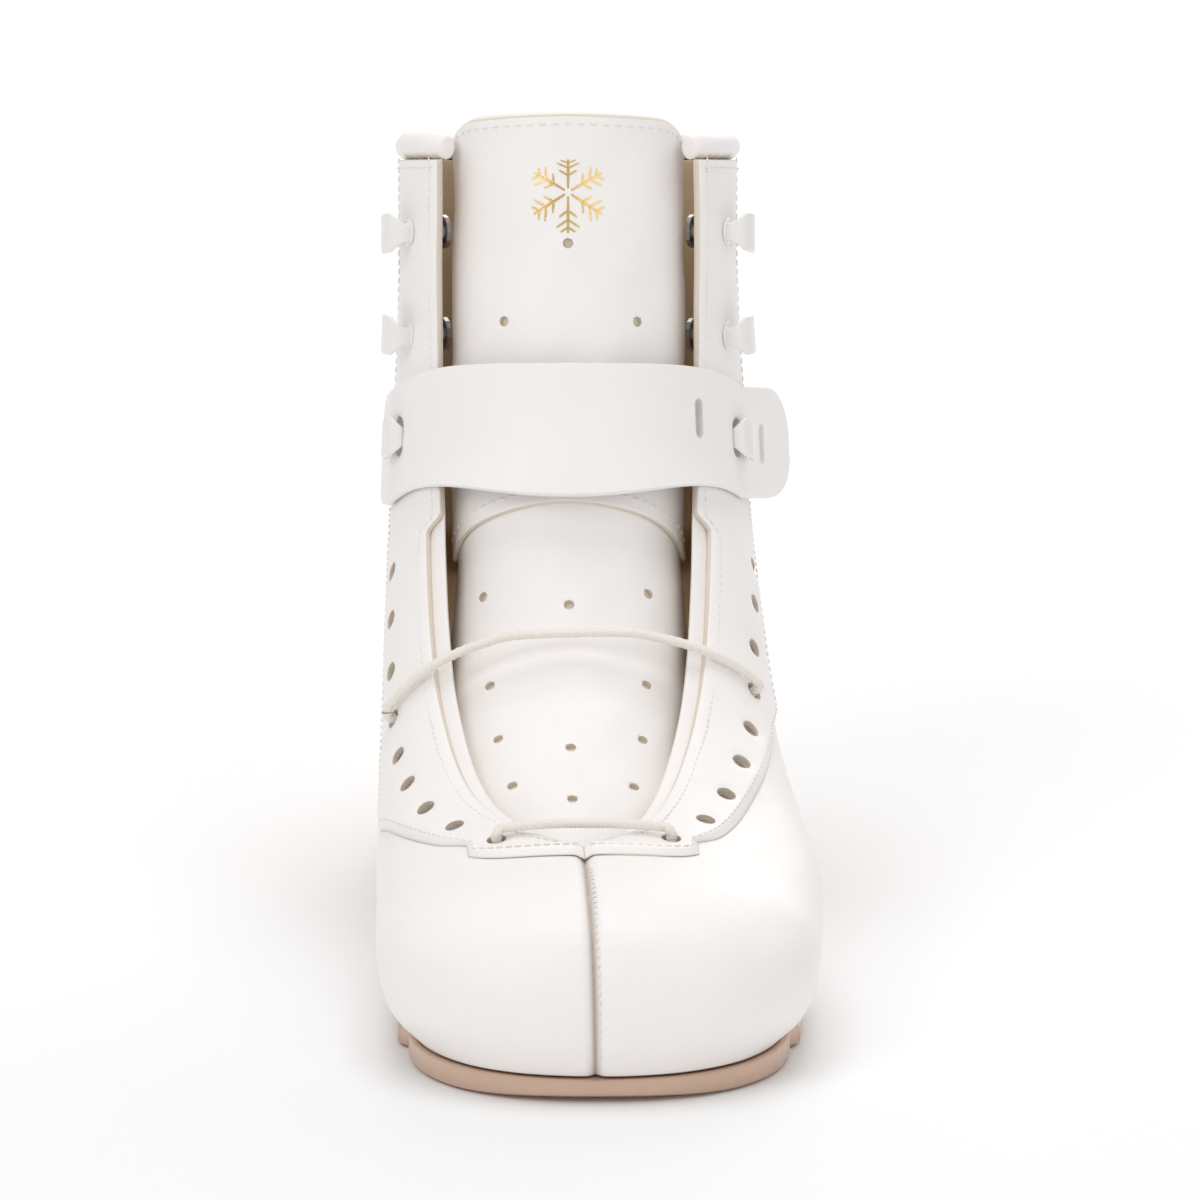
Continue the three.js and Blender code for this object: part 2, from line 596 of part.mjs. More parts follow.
const heelTop = (back) => soleBottom(back) - CLEARANCE;
addPiece('heel_block', soleLayer({
  from: BREAST,
  to: BOOT_LENGTH,
  outset: -0.5,
  top: heelTop,
  bottom: () => HEEL_LIFT + CLEARANCE,
  steps: 12,
}), soleBlack());
addPiece('heel_lift', soleLayer({
  from: BREAST, to: BOOT_LENGTH, outset: -0.5, top: () => HEEL_LIFT, bottom: () => 0, steps: 12,
}), soleBlack());

// ---------------------------------------------------------------- Hooks and their washers

// The hook's profile, round against out: a stem top that turns over into a tab.
function hookTab(frame, base) {
  const heel = -HOOK_STEM_RADIUS - 0.7;
  const shape = new THREE.Shape();
  shape.moveTo(heel, 0);
  shape.lineTo(HOOK_REACH, 0);
  shape.lineTo(HOOK_REACH + 0.4, HOOK_THICKNESS * 0.45);
  shape.quadraticCurveTo(HOOK_REACH * 0.6, HOOK_THICKNESS * 1.05, HOOK_REACH * 0.2, HOOK_THICKNESS * 1.1);
  shape.lineTo(heel + 0.7, HOOK_THICKNESS);
  shape.lineTo(heel, HOOK_THICKNESS * 0.5);
  shape.closePath();
  const options = { depth: HOOK_WIDTH, bevelEnabled: false, steps: 1, curveSegments: 3 };
  const tab = new THREE.ExtrudeGeometry(shape, options);
  const y = new THREE.Vector3().crossVectors(frame.out, frame.round);
  const matrix = new THREE.Matrix4().makeBasis(frame.round, frame.out, y.clone().negate());
  matrix.setPosition(frame.at.clone().addScaledVector(frame.out, base).addScaledVector(y, HOOK_WIDTH / 2));
  return tab.applyMatrix4(matrix);
}

const HOOK_TAB_HEIGHT = STRAP_LAYER.outer + CLEARANCE + 0.1;
const WASHER_TOP = LINING_LAYER.inner - 0.9;
const STEM_END = WASHER_TOP - WASHER_THICKNESS - 0.6;
const HOOK_LEVELS = ['lower', 'middle', 'top'];

for (const side of [MEDIAL, LATERAL]) {
  HOOKS[side].forEach((hook, i) => {
    const frame = frameOf(hook);
    const stem = rod(frame, HOOK_STEM_RADIUS, STEM_END, HOOK_TAB_HEIGHT + HOOK_THICKNESS * 0.6);
    addPiece(`hook_${side}_${HOOK_LEVELS[i]}`, join([stem, hookTab(frame, HOOK_TAB_HEIGHT)]), hookWhite());
    const disc = rod(frame, WASHER_RADIUS, WASHER_TOP - WASHER_THICKNESS, WASHER_TOP, 12);
    const bore = rod(frame, HOOK_STEM_RADIUS + CLEARANCE, WASHER_TOP - 5, WASHER_TOP + 5);
    addPiece(`hook_washer_${side}_${HOOK_LEVELS[i]}`, cut(disc, [bore]), steel());
  });
}

// ---------------------------------------------------------------- Ankle strap

const STRAP_U = (HOOKS.medial[0].u + HOOKS.lateral[0].u) / 2;

// The section that lies `w` up from the strap's middle line, measured along the leather. That line sags between
// the hooks.
function strapRow(side, angle, w) {
  const per = upperPoint(side, STRAP_U + 0.5, angle).distanceTo(upperPoint(side, STRAP_U - 0.5, angle));
  const share = Math.min(angle / HOOKS[side][0].angle, 1);
  const sag = STRAP_DIP * Math.cos((share * Math.PI) / 2) ** 2;
  return STRAP_U + (w - sag) / per;
}

// The strap's cross-section, square to its length, at an angle of the leather. narrow rounds its ends.
function strapRing(side, angle, narrow, shift) {
  const half = (STRAP_WIDTH / 2) * narrow;
  const edge = (offset) => [-1, 0, 1].map((k) => {
    const point = upperPoint(side, strapRow(side, angle, k * half), angle, offset);
    return shift ? point.add(shift(k * half)) : point;
  });
  return [...edge(STRAP_LAYER.outer), ...edge(STRAP_LAYER.inner).reverse()];
}

function strapRings(side, angles) {
  return angles.map((angle) => strapRing(side, angle, 1, null));
}

const between = (from, to, steps) =>
  Array.from({ length: steps + 1 }, (_, i) => from + ((to - from) * i) / steps);
const MEDIAL_HOOK = HOOKS.medial[0];
const LATERAL_HOOK = HOOKS.lateral[0];
const LATERAL_END = angleFurther(LATERAL, STRAP_U, LATERAL_HOOK.angle, STRAP_LATERAL_TAIL);
const HINGE_ANGLE = angleFurther(LATERAL, STRAP_U, LATERAL_HOOK.angle, -STRAP_HINGE_INSET);
const TAIL_ANGLE = angleFurther(MEDIAL, STRAP_U, MEDIAL_HOOK.angle, STRAP_TAIL_LEAD);
const TAIL_LENGTH = STRAP_MEDIAL_TAIL - STRAP_TAIL_LEAD;

// Past the medial hook the strap leaves the boot straight ahead, and its end is round.
function tailRings() {
  const lead = frameAt(MEDIAL, STRAP_U, TAIL_ANGLE, STRAP_LAYER.outer);
  return between(0.12, 0.97, 7).map((t) => {
    const run = TAIL_LENGTH * t;
    const round = Math.max((t - 0.5) / 0.5, 0);
    const flare = STRAP_TAIL_FLARE * run;
    const shift = () => lead.round.clone().multiplyScalar(run).addScaledVector(lead.out, flare);
    return strapRing(MEDIAL, TAIL_ANGLE, Math.sqrt(1 - (round * 0.96) ** 2.6), shift);
  });
}

const strapSolid = loft([
  strapRing(LATERAL, LATERAL_END, 0.8, null),
  ...strapRings(LATERAL, between(LATERAL_END - 0.06, 0.25, 8)),
  ...strapRings(MEDIAL, between(0, TAIL_ANGLE, 8)),
  ...tailRings(),
]);

// The line that the strap bends on lies on its outer face, straight across it.
function strapHinge() {
  const row = (k) => strapRow(LATERAL, HINGE_ANGLE, (k * STRAP_WIDTH) / 2);
  const edge = (k) => upperPoint(LATERAL, row(k), HINGE_ANGLE, STRAP_LAYER.outer);
  const up = edge(1).sub(edge(-1)).normalize();
  const { out } = frameAt(LATERAL, STRAP_U, HINGE_ANGLE);
  const at = edge(1).add(edge(-1)).multiplyScalar(0.5);
  return { at, up, out: out.addScaledVector(up, -out.dot(up)).normalize() };
}

// A slot along the strap's width, through it.
function slot(frame, width, length) {
  return place(new THREE.BoxGeometry(width, length, 16), frame, STRAP_LAYER.inner);
}

const openSlotAngle = angleFurther(MEDIAL, STRAP_U, MEDIAL_HOOK.angle, -SLOT_PITCH);
const tailLead = frameAt(MEDIAL, STRAP_U, TAIL_ANGLE);
const slotPlace = tailLead.at.clone().addScaledVector(tailLead.round, SLOT_PITCH - STRAP_TAIL_LEAD);
const tailSlot = { ...tailLead, at: slotPlace };
const strapCuts = [
  slot(frameOf(MEDIAL_HOOK), HOOKED_SLOT_WIDTH, SLOT_LENGTH),
  slot(frameAt(MEDIAL, STRAP_U, openSlotAngle), SLOT_WIDTH, SLOT_LENGTH),
  slot(tailSlot, SLOT_WIDTH, SLOT_LENGTH),
  slot(frameOf(LATERAL_HOOK), HOOKED_SLOT_WIDTH, SLOT_LENGTH),
  place(new THREE.BoxGeometry(STRAP_HINGE_GAP, 2 * STRAP_WIDTH, 8 * STRAP_THICKNESS), strapHinge()),
];
const strapHalves = solidOf(cut(strapSolid, strapCuts)).decompose().sort((a, b) => b.volume() - a.volume());
addPiece('strap_band', geometryOf(strapHalves[0]), leatherWhite());
addPiece('strap_anchor', geometryOf(strapHalves[1]), leatherWhite());

// ---------------------------------------------------------------- Tongue

const TONGUE_FIRST = AT.throat + 0.12;
const TONGUE_SHAFT_HALF_WIDTH = THROAT_HALF_GAP - TONGUE_SHAFT_MARGIN;
const TONGUE_VAMP_HALF_WIDTH = THROAT_HALF_GAP - TONGUE_VAMP_MARGIN;

// The tongue's middle line follows the boot's front line and runs straight on above the collar.
function tongueCentre(v) {
  const [y, z] = sectionAt(Math.min(v, TOP)).front;
  if (v <= TOP) return { y, z };
  const below = sectionAt(TOP - 0.5).front;
  const slope = [y - below[0], z - below[1]];
  const above = ((v - TOP) * TONGUE_RISE) / Math.hypot(...slope);
  return { y: y + slope[0] * above, z: z + slope[1] * above };
}

// A point of the tongue. turn runs from -1 to 1 across it and offset is out from its face.
function tonguePoint(v, turn, offset) {
  const here = tongueCentre(v);
  const [a, b] = [tongueCentre(v - 0.1), tongueCentre(v + 0.1)];
  const run = Math.hypot(b.y - a.y, b.z - a.z);
  const inward = [(b.z - a.z) / run, -(b.y - a.y) / run];
  const climb = smooth(Math.min(Math.max((v - AT.ball) / (AT.flex - AT.ball), 0), 1));
  const half = THREE.MathUtils.lerp(TONGUE_VAMP_HALF_WIDTH, TONGUE_SHAFT_HALF_WIDTH, climb);
  const start = smooth(Math.min(Math.max((v - TONGUE_FIRST) / TONGUE_TIP_RUN, 0), 1));
  const halfWidth = half * THREE.MathUtils.lerp(TONGUE_TIP_WIDTH, 1, start);
  const fullWrap = THREE.MathUtils.lerp(TONGUE_VAMP_WRAP, TONGUE_SHAFT_WRAP, climb);
  const wrap = fullWrap * THREE.MathUtils.lerp(TONGUE_TIP_WRAP, 1, start);
  const drop = THREE.MathUtils.lerp(TONGUE_TIP_DROP, TONGUE_DROP, start);
  const angle = (turn * Math.PI) / 2;
  const depth = drop - offset + (wrap + offset) * (1 - Math.cos(angle));
  const x = sectionAt(Math.min(v, TOP)).centre + (halfWidth + offset) * Math.sin(angle);
  return new THREE.Vector3(x, here.y + inward[0] * depth, here.z + inward[1] * depth);
}

const TONGUE_TURNS = [-0.93, -0.7, -0.47, -0.23, 0, 0.23, 0.47, 0.7, 0.93];

function tongueLayer(rows, { outer, inner }) {
  const line = (v, offset) => TONGUE_TURNS.map((turn) => tonguePoint(v, turn, offset));
  const columns = TONGUE_TURNS.length;
  const leans = (j) => j < columns;
  return loft(rows.map((v) => [...line(v, outer), ...line(v, inner).reverse()]), leans);
}

const TONGUE_COVER_LAYER = layer(0, TONGUE_COVER);
const TONGUE_PADDING_LAYER = layer(-TONGUE_COVER - CLEARANCE, TONGUE_PADDING);
const SEAM_V = solve((v) => tongueCentre(v).z, TONGUE_SEAM_HEIGHT * TALL, AT.ball, TOP);
const seamStep = TONGUE_SEAM_GAP / 2 / (TONGUE_SEAM_HEIGHT * TALL - tongueCentre(SEAM_V - 1).z);
const lowerRows = [TONGUE_FIRST, 4.4, 4.8, 5.3, 5.9, 6.5, 7.2, 7.9, SEAM_V - seamStep];
const upperRows = [SEAM_V + seamStep, 9.3, 10, 10.8, 11.7, 12.6, 13.4, TOP, TOP + 1];
addPiece('tongue_lower_cover', tongueLayer(lowerRows, TONGUE_COVER_LAYER), leatherWhite());
addPiece('tongue_lower_padding', tongueLayer(lowerRows, TONGUE_PADDING_LAYER), liningTan());
addPiece('tongue_upper_cover', tongueLayer(upperRows, TONGUE_COVER_LAYER), leatherWhite());
addPiece('tongue_upper_padding', tongueLayer(upperRows, TONGUE_PADDING_LAYER), liningTan());

// ---------------------------------------------------------------- Ties

// A cord between the same lace hole on both sides, knotted inside, over the facings and across the tongue.
function tie(hole) {
  const riser = TIE_RADIUS + 2 * CLEARANCE + FACING_LAYER.outer;
  const half = (side) => {
    const { angle, u } = LACES[side][hole];
    const { at, out, round } = frameOf(LACES[side][hole]);
    const point = (height, run) => at.clone().addScaledVector(out, height).addScaledVector(round, -run);
    const start = angleFurther(side, u, angle, -2.2);
    const middle = (LACES.medial[hole].u + LACES.lateral[hole].u) / 2;
    const over = [1, 0.85, 0.7, 0.54, 0.38, 0.2].map((f) => (
      upperPoint(side, THREE.MathUtils.lerp(middle, u, f), start * f, riser)));
    return [point(PUNCH_FROM + 2.5, 0), point(-3, 0), point(1.6, 0), point(riser - 0.8, 0.5), ...over];
  };
  const path = new THREE.CatmullRomCurve3([...half(LATERAL), ...half(MEDIAL).reverse()]);
  const section = new THREE.Shape();
  section.absarc(0, 0, TIE_RADIUS, 0, 2 * Math.PI, false);
  const options = { steps: 40, extrudePath: path, curveSegments: 4, bevelEnabled: false };
  const cord = new THREE.ExtrudeGeometry(section, options);
  const knots = [path.points[0], path.points.at(-1)].map((point) => (
    new THREE.SphereGeometry(TIE_KNOT_RADIUS, 8, 6).translate(point.x, point.y, point.z)));
  return join([cord, ...knots]);
}
addPiece('instep_tie', tie(INSTEP_TIE_HOLE), cordWhite());
addPiece('toe_tie', tie(TOE_TIE_HOLE), cordWhite());

// ---------------------------------------------------------------- Place in the world

const box = new THREE.Box3();
for (const piece of boot.children) box.expandByObject(piece);
boot.position.set(-(box.min.x + box.max.x) / 2, -(box.min.y + box.max.y) / 2, -box.min.z);
boot.updateMatrixWorld(true);

export default boot;
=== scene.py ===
# %% [markdown]
# A leather skating boot, without its blade. The rigid frame (soles, hooks, joints) comes in from the packed
# model. Everything soft is made again here as a fine mesh: the leather halves, the facings, the linings,
# the tongue, the ankle strap, the padded collar, the ties and the stitching. The CAD box is kept, so
# that the finished boot's size can be held against it.

# %% Load the frame
import json
import math

import bpy
import bmesh
import numpy as np
from mathutils import Matrix, Vector


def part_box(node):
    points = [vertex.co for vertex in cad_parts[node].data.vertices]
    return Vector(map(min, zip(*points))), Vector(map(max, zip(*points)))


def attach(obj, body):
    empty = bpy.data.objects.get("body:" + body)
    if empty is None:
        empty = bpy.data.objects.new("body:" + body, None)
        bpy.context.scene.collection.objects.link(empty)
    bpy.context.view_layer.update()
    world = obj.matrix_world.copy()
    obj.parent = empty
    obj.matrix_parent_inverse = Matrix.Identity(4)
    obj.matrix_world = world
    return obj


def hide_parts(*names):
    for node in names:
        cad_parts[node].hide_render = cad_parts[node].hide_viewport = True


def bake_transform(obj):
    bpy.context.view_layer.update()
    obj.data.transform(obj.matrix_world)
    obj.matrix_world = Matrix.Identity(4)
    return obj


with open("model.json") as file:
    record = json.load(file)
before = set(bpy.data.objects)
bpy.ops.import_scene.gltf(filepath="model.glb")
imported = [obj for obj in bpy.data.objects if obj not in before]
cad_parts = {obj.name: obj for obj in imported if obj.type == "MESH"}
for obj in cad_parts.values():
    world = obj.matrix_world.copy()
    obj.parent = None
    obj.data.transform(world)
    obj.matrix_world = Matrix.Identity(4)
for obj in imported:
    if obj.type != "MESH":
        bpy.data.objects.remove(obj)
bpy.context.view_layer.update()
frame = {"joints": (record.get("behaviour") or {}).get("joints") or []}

# %% [markdown]
# The camera and the light come first. A long lens from well back keeps the boot's proportions flat. The
# lights are large and close to white, and the floor and the world are white too, so that white leather
# keeps only soft grey shading along its sides.

# %% Camera, lights and floor
scene = bpy.context.scene
scene.view_settings.view_transform = "Standard"
ELEVATION = math.radians(13.5)
CAMERA_DISTANCE = 3.1
LENS = 413.85
TARGET = Vector((0.0006, 0.0, 0.081))


def add_camera():
    data = bpy.data.cameras.new("camera")
    data.lens = LENS
    data.sensor_width = 36
    camera = bpy.data.objects.new("camera", data)
    scene.collection.objects.link(camera)
    back = Vector((0, -math.cos(ELEVATION), math.sin(ELEVATION)))
    camera.location = TARGET + back * CAMERA_DISTANCE
    camera.rotation_euler = (-back).to_track_quat("-Z", "Y").to_euler()
    scene.camera = camera


def add_light(name, place, size, power, colour=(1, 1, 1)):
    data = bpy.data.lights.new(name, "AREA")
    data.size = size
    data.energy = power
    data.color = colour
    light = bpy.data.objects.new(name, data)
    scene.collection.objects.link(light)
    light.location = place
    light.rotation_euler = (TARGET - Vector(place)).to_track_quat("-Z", "Y").to_euler()


add_camera()
add_light("key", (-0.9, -1.2, 1.3), 0.9, 6.0)
add_light("fill", (1.0, -1.6, 1.0), 1.1, 3.0)
add_light("top", (0.0, 0.2, 1.6), 1.0, 7)
add_light("back", (0.3, 1.5, 0.9), 1.2, 8)

world = bpy.data.worlds.new("white room")
scene.world = world
world.use_nodes = True
world.node_tree.nodes["Background"].inputs["Color"].default_value = (1, 1, 1, 1)
world.node_tree.nodes["Background"].inputs["Strength"].default_value = 0.6

FLOOR_SIZE = 6
bpy.ops.mesh.primitive_plane_add(size=FLOOR_SIZE, location=(0, 0, -0.0004))
floor = bpy.context.object
floor.name = "floor"

# %% [markdown]
# Materials. White leather is a bright, slightly warm base under a satin sheen. Its grain is two sizes of
# noise and fine pores in the bump, and its colour drifts a little. Painted shade darkens it to a brown in
# the toe seam groove and along the edges of overlaid pieces. The grain, the weave and the drift of colour
# are node groups that several materials share.

# %% Helpers for node groups
def new_group(name, inputs, outputs):
    group = bpy.data.node_groups.new(name, "ShaderNodeTree")
    for label, kind, value in inputs:
        socket = group.interface.new_socket(label, in_out="INPUT", socket_type=kind)
        if value is not None:
            socket.default_value = value
    for label, kind in outputs:
        group.interface.new_socket(label, in_out="OUTPUT", socket_type=kind)
    return group, group.nodes.new("NodeGroupInput"), group.nodes.new("NodeGroupOutput")


def noise(tree, vector, scale, detail=3.0, roughness=0.5):
    node = tree.nodes.new("ShaderNodeTexNoise")
    node.inputs["Scale"].default_value = scale
    node.inputs["Detail"].default_value = detail
    node.inputs["Roughness"].default_value = roughness
    tree.links.new(vector, node.inputs["Vector"])
    return node.outputs["Fac"]


def maths(tree, operation, a, b=None, c=None, clamp=False):
    node = tree.nodes.new("ShaderNodeMath")
    node.operation = operation
    node.use_clamp = clamp
    for i, value in enumerate((a, b, c)):
        if value is None:
            continue
        if isinstance(value, (int, float)):
            node.inputs[i].default_value = value
        else:
            tree.links.new(value, node.inputs[i])
    return node.outputs[0]


def mix_colour(tree, factor, a, b):
    node = tree.nodes.new("ShaderNodeMix")
    node.data_type = "RGBA"
    tree.links.new(factor, node.inputs["Factor"])
    for socket, value in ((node.inputs["A"], a), (node.inputs["B"], b)):
        if isinstance(value, tuple):
            socket.default_value = (*value, 1)
        else:
            tree.links.new(value, socket)
    return node.outputs["Result"]


# %% Leather grain: fine pores over soft pebbles
def make_grain():
    group, source, result = new_group(
        "leather grain",
        [("Vector", "NodeSocketVector", None), ("Pore size", "NodeSocketFloat", 1500.0)],
        [("Height", "NodeSocketFloat"), ("Shade", "NodeSocketFloat")])
    pores = group.nodes.new("ShaderNodeTexVoronoi")
    pores.feature = "DISTANCE_TO_EDGE"
    group.links.new(source.outputs["Vector"], pores.inputs["Vector"])
    group.links.new(source.outputs["Pore size"], pores.inputs["Scale"])
    creases = maths(group, "SMOOTH_MIN", pores.outputs["Distance"], 0.16, 0.1)
    pebbles = noise(group, source.outputs["Vector"], 420, 4)
    soft = noise(group, source.outputs["Vector"], 55, 3)
    deep, shallow = maths(group, "MULTIPLY", creases, 2.2), maths(group, "MULTIPLY", pebbles, 0.8)
    height = maths(group, "ADD", deep, shallow)
    group.links.new(maths(group, "ADD", height, maths(group, "MULTIPLY", soft, 0.9)), result.inputs["Height"])
    group.links.new(soft, result.inputs["Shade"])
    return group


# %% Weave: two crossed sets of threads
def make_weave():
    group, source, result = new_group(
        "weave", [("Vector", "NodeSocketVector", None), ("Threads", "NodeSocketFloat", 900.0)],
        [("Height", "NodeSocketFloat"), ("Shade", "NodeSocketFloat")])
    split = group.nodes.new("ShaderNodeSeparateXYZ")
    group.links.new(source.outputs["Vector"], split.inputs[0])
    waves = []
    for a, b in ((0, 2), (1, 2)):
        run = maths(group, "ADD", split.outputs[a], split.outputs[b]) if a == 0 else \
            maths(group, "SUBTRACT", split.outputs[a], split.outputs[b])
        waves.append(maths(group, "SINE", maths(group, "MULTIPLY", run, source.outputs["Threads"])))
    height = maths(group, "MULTIPLY", waves[0], waves[1])
    fuzz = noise(group, source.outputs["Vector"], 700, 5, 0.7)
    threads = maths(group, "MULTIPLY", height, 0.35)
    group.links.new(maths(group, "ADD", threads, fuzz), result.inputs["Height"])
    group.links.new(noise(group, source.outputs["Vector"], 60, 3), result.inputs["Shade"])
    return group


# %% Handling marks: a wide, faint drift of colour and of gloss
def make_marks():
    group, source, result = new_group(
        "handling marks", [("Vector", "NodeSocketVector", None)],
        [("Patches", "NodeSocketFloat"), ("Scuffs", "NodeSocketFloat")])
    group.links.new(noise(group, source.outputs["Vector"], 18, 3), result.inputs["Patches"])
    fine = noise(group, source.outputs["Vector"], 240, 5, 0.65)
    group.links.new(maths(group, "POWER", fine, 3.0), result.inputs["Scuffs"])
    return group


GRAIN, WEAVE, MARKS = make_grain(), make_weave(), make_marks()


# %% A material: two colours that drift, a roughness that drifts, and a bump from one of the groups
def finish(name, light, dark, roughness, bump, pattern, scale,
           sheen=0.0, coat=0.0, metallic=0.0, crease_shade=None):
    material = bpy.data.materials.new(name)
    material.use_nodes = True
    tree = material.node_tree
    shader = tree.nodes["Principled BSDF"]
    place = tree.nodes.new("ShaderNodeTexCoord").outputs["Object"]
    texture = tree.nodes.new("ShaderNodeGroup")
    texture.node_tree = pattern
    tree.links.new(place, texture.inputs["Vector"])
    texture.inputs[1].default_value = scale
    marks = tree.nodes.new("ShaderNodeGroup")
    marks.node_tree = MARKS
    tree.links.new(place, marks.inputs["Vector"])
    drift = maths(tree, "MULTIPLY_ADD", marks.outputs["Patches"], 0.8, -0.1, clamp=True)
    colour = mix_colour(tree, drift, light, dark)
    # Painted shade: where a point's crease value is above zero, the colour is mixed toward a dark brown that
    # stands in for shade in grooves and at the edges of layers.
    if crease_shade is not None:
        shade = tree.nodes.new("ShaderNodeAttribute")
        shade.attribute_name = "crease_shade"
        colour = mix_colour(tree, shade.outputs["Fac"], colour, crease_shade)
    tree.links.new(colour, shader.inputs["Base Color"])
    rough = maths(tree, "MULTIPLY_ADD", marks.outputs["Scuffs"], 0.5, roughness - 0.05, clamp=True)
    tree.links.new(rough, shader.inputs["Roughness"])
    shader.inputs["Metallic"].default_value = metallic
    shader.inputs["Sheen Weight"].default_value = sheen
    shader.inputs["Coat Weight"].default_value = coat
    shader.inputs["Coat Roughness"].default_value = 0.35
    bumps = tree.nodes.new("ShaderNodeBump")
    bumps.inputs["Strength"].default_value = bump
    bumps.inputs["Distance"].default_value = 0.0002
    tree.links.new(texture.outputs["Height"], bumps.inputs["Height"])
    tree.links.new(bumps.outputs["Normal"], shader.inputs["Normal"])
    return material


# The dark brown given as the crease colour of both leathers is painted shade, not dirt.
WHITE_LEATHER = finish("white leather", (0.955, 0.922, 0.905), (0.925, 0.882, 0.858), 0.46, 0.22, GRAIN, 1500,
                       coat=0.08, crease_shade=(0.42, 0.36, 0.31))
STRAP_LEATHER = finish("strap leather", (0.955, 0.922, 0.91), (0.925, 0.882, 0.865), 0.5, 0.2, GRAIN, 1700,
                       coat=0.05, crease_shade=(0.42, 0.36, 0.31))
RAW_EDGE = finish("raw cut leather edge", (0.80, 0.72, 0.62), (0.62, 0.52, 0.41), 0.9, 0.8,
                  WEAVE, 1400, sheen=0.2)
TAN_LINING = finish("tan microfibre lining", (0.60, 0.44, 0.26), (0.47, 0.33, 0.18), 0.9, 0.5,
                    WEAVE, 2600, sheen=0.3)
CREAM_LINING = finish("cream tongue lining", (0.86, 0.80, 0.68), (0.78, 0.70, 0.56), 0.88, 0.5,
                      WEAVE, 2600, sheen=0.3)
BOARD = finish("pressed fibre board", (0.42, 0.30, 0.19), (0.30, 0.21, 0.12), 0.85, 0.5, GRAIN, 900)
FELT = finish("stiffening felt", (0.80, 0.74, 0.62), (0.68, 0.60, 0.48), 0.95, 0.7, WEAVE, 1800, sheen=0.2)
BRONZE = finish("bronze sole lacquer", (0.66, 0.47, 0.36), (0.52, 0.36, 0.26), 0.38, 0.12, GRAIN, 700,
                metallic=0.55, coat=0.25)
HOOK_WHITE = finish("white hook coating", (0.90, 0.88, 0.86), (0.86, 0.84, 0.81), 0.3, 0.05,
                    GRAIN, 500, coat=0.3)
STEEL = finish("plain washer steel", (0.55, 0.55, 0.56), (0.42, 0.42, 0.43), 0.35, 0.1,
               GRAIN, 600, metallic=1.0)
THREAD = finish("white thread", (0.90, 0.86, 0.81), (0.80, 0.75, 0.69), 0.75, 0.6, WEAVE, 5200, sheen=0.15)
CORD = finish("white woven cord", (0.92, 0.875, 0.82), (0.82, 0.76, 0.68), 0.8, 0.9, WEAVE, 3600, sheen=0.25)
GOLD = finish("gold foil", (0.85, 0.62, 0.27), (0.70, 0.47, 0.16), 0.26, 0.15, GRAIN, 1500, metallic=1.0)
FLOOR_WHITE = finish("white floor", (0.93, 0.93, 0.93), (0.92, 0.92, 0.92), 0.8, 0.05, GRAIN, 90)
floor.data.materials.append(FLOOR_WHITE)
print("materials", len(bpy.data.materials))

# %% [markdown]
# The last. A boot is made over a last, a solid foot. Here the last is a fan of sections, each a rounded
# arch from the boot's front line down to the sole's edge or the back seam. Every soft layer is the same fan
# set in or out, which is why the layers fit. The numbers are millimetres behind the toe tip, across, and
# up, as the CAD part has.

# %% Sections of the last
MM = 0.001
MEDIAL, LATERAL = "medial", "lateral"
SIGN = {MEDIAL: 1.0, LATERAL: -1.0}
# front and base are (behind the toe, up); the halves are (at the base, at the widest); then belly and crown.
SECTIONS = [
    ("toe_edge", (4, 5.5), (46, 6), -0.8, (40.9, 41.4), (39.3, 39.8), 0.02, 2.2),
    ("toe_bulge", (1.5, 19), (47, 6), -0.9, (41.2, 44.7), (39.4, 42.9), 0.25, 2.3),
    ("toe_shoulder", (9, 34.5), (48, 6), -1.4, (42.2, 48.3), (39.5, 45.5), 0.38, 2.3),
    ("toe_crown", (27, 42.5), (49.5, 5.5), -2.4, (44.2, 50.8), (39.3, 46), 0.48, 2.25),
    ("throat", (52, 45.5), (52, 5), -3.6, (46.6, 52.6), (39.4, 45.4), 0.5, 2.2),
    ("ball", (78, 51.5), (82, 4.8), -5.9, (49.2, 55.3), (37.4, 43.5), 0.5, 2.2),
    ("waist", (104, 65.5), (118, 6), -6.4, (43.4, 51.4), (35.6, 43), 0.45, 2.2),
    ("arch", (121, 80), (152, 16), -6.7, (33.7, 46.7), (31.3, 42.1), 0.47, 2.2),
    ("instep", (132, 95), (192, 42), -6.8, (27.8, 43.3), (29.2, 41.4), 0.45, 2.2),
    ("flex", (139, 109), (236, 57), -6.9, (25, 41.3), (26, 40.6), 0.42, 2.25),
    ("heel_back", (144, 121), (259, 60), -7, (23, 40.6), (24, 40), 0.45, 2.3),
    ("heel_bulge", (148, 134), (261, 84), -7, (0, 39.6), (0, 39.2), 0.47, 2.3),
    ("achilles", (152.5, 148), (255, 110.5), -7, (0, 38.4), (0, 38.4), 0.5, 2.3),
    ("shaft", (157, 162), (250.5, 136), -7, (0, 38), (0, 38.3), 0.5, 2.3),
    ("collar", (161, 176), (251, 157), -7, (0, 38), (0, 38.3), 0.5, 2.3),
]
AT = {section[0]: i for i, section in enumerate(SECTIONS)}
TOP = len(SECTIONS) - 1
TABLE = np.array([(*s[1], *s[2], s[3], *s[4], *s[5], s[6], s[7]) for s in SECTIONS], float)
FRONT_Y, FRONT_Z, BASE_Y, BASE_Z, CENTRE = range(5)
MEDIAL_BASE, MEDIAL_WIDE, LATERAL_BASE, LATERAL_WIDE, BELLY, CROWN = range(5, 11)
HALF = {MEDIAL: (MEDIAL_BASE, MEDIAL_WIDE), LATERAL: (LATERAL_BASE, LATERAL_WIDE)}
SEAM_HALF_GAP = 0.15

# The CAD model is centred over its own footprint, so its toe half gives the shift between the two.
TOE_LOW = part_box("quarter_medial")[0]
SHIFT = np.array([TOE_LOW.x / MM - (TABLE[TOP, CENTRE] + SEAM_HALF_GAP),
                  TOE_LOW.y / MM - TABLE[:, FRONT_Y].min(), 0.0])
print("shift, mm", SHIFT.round(3))


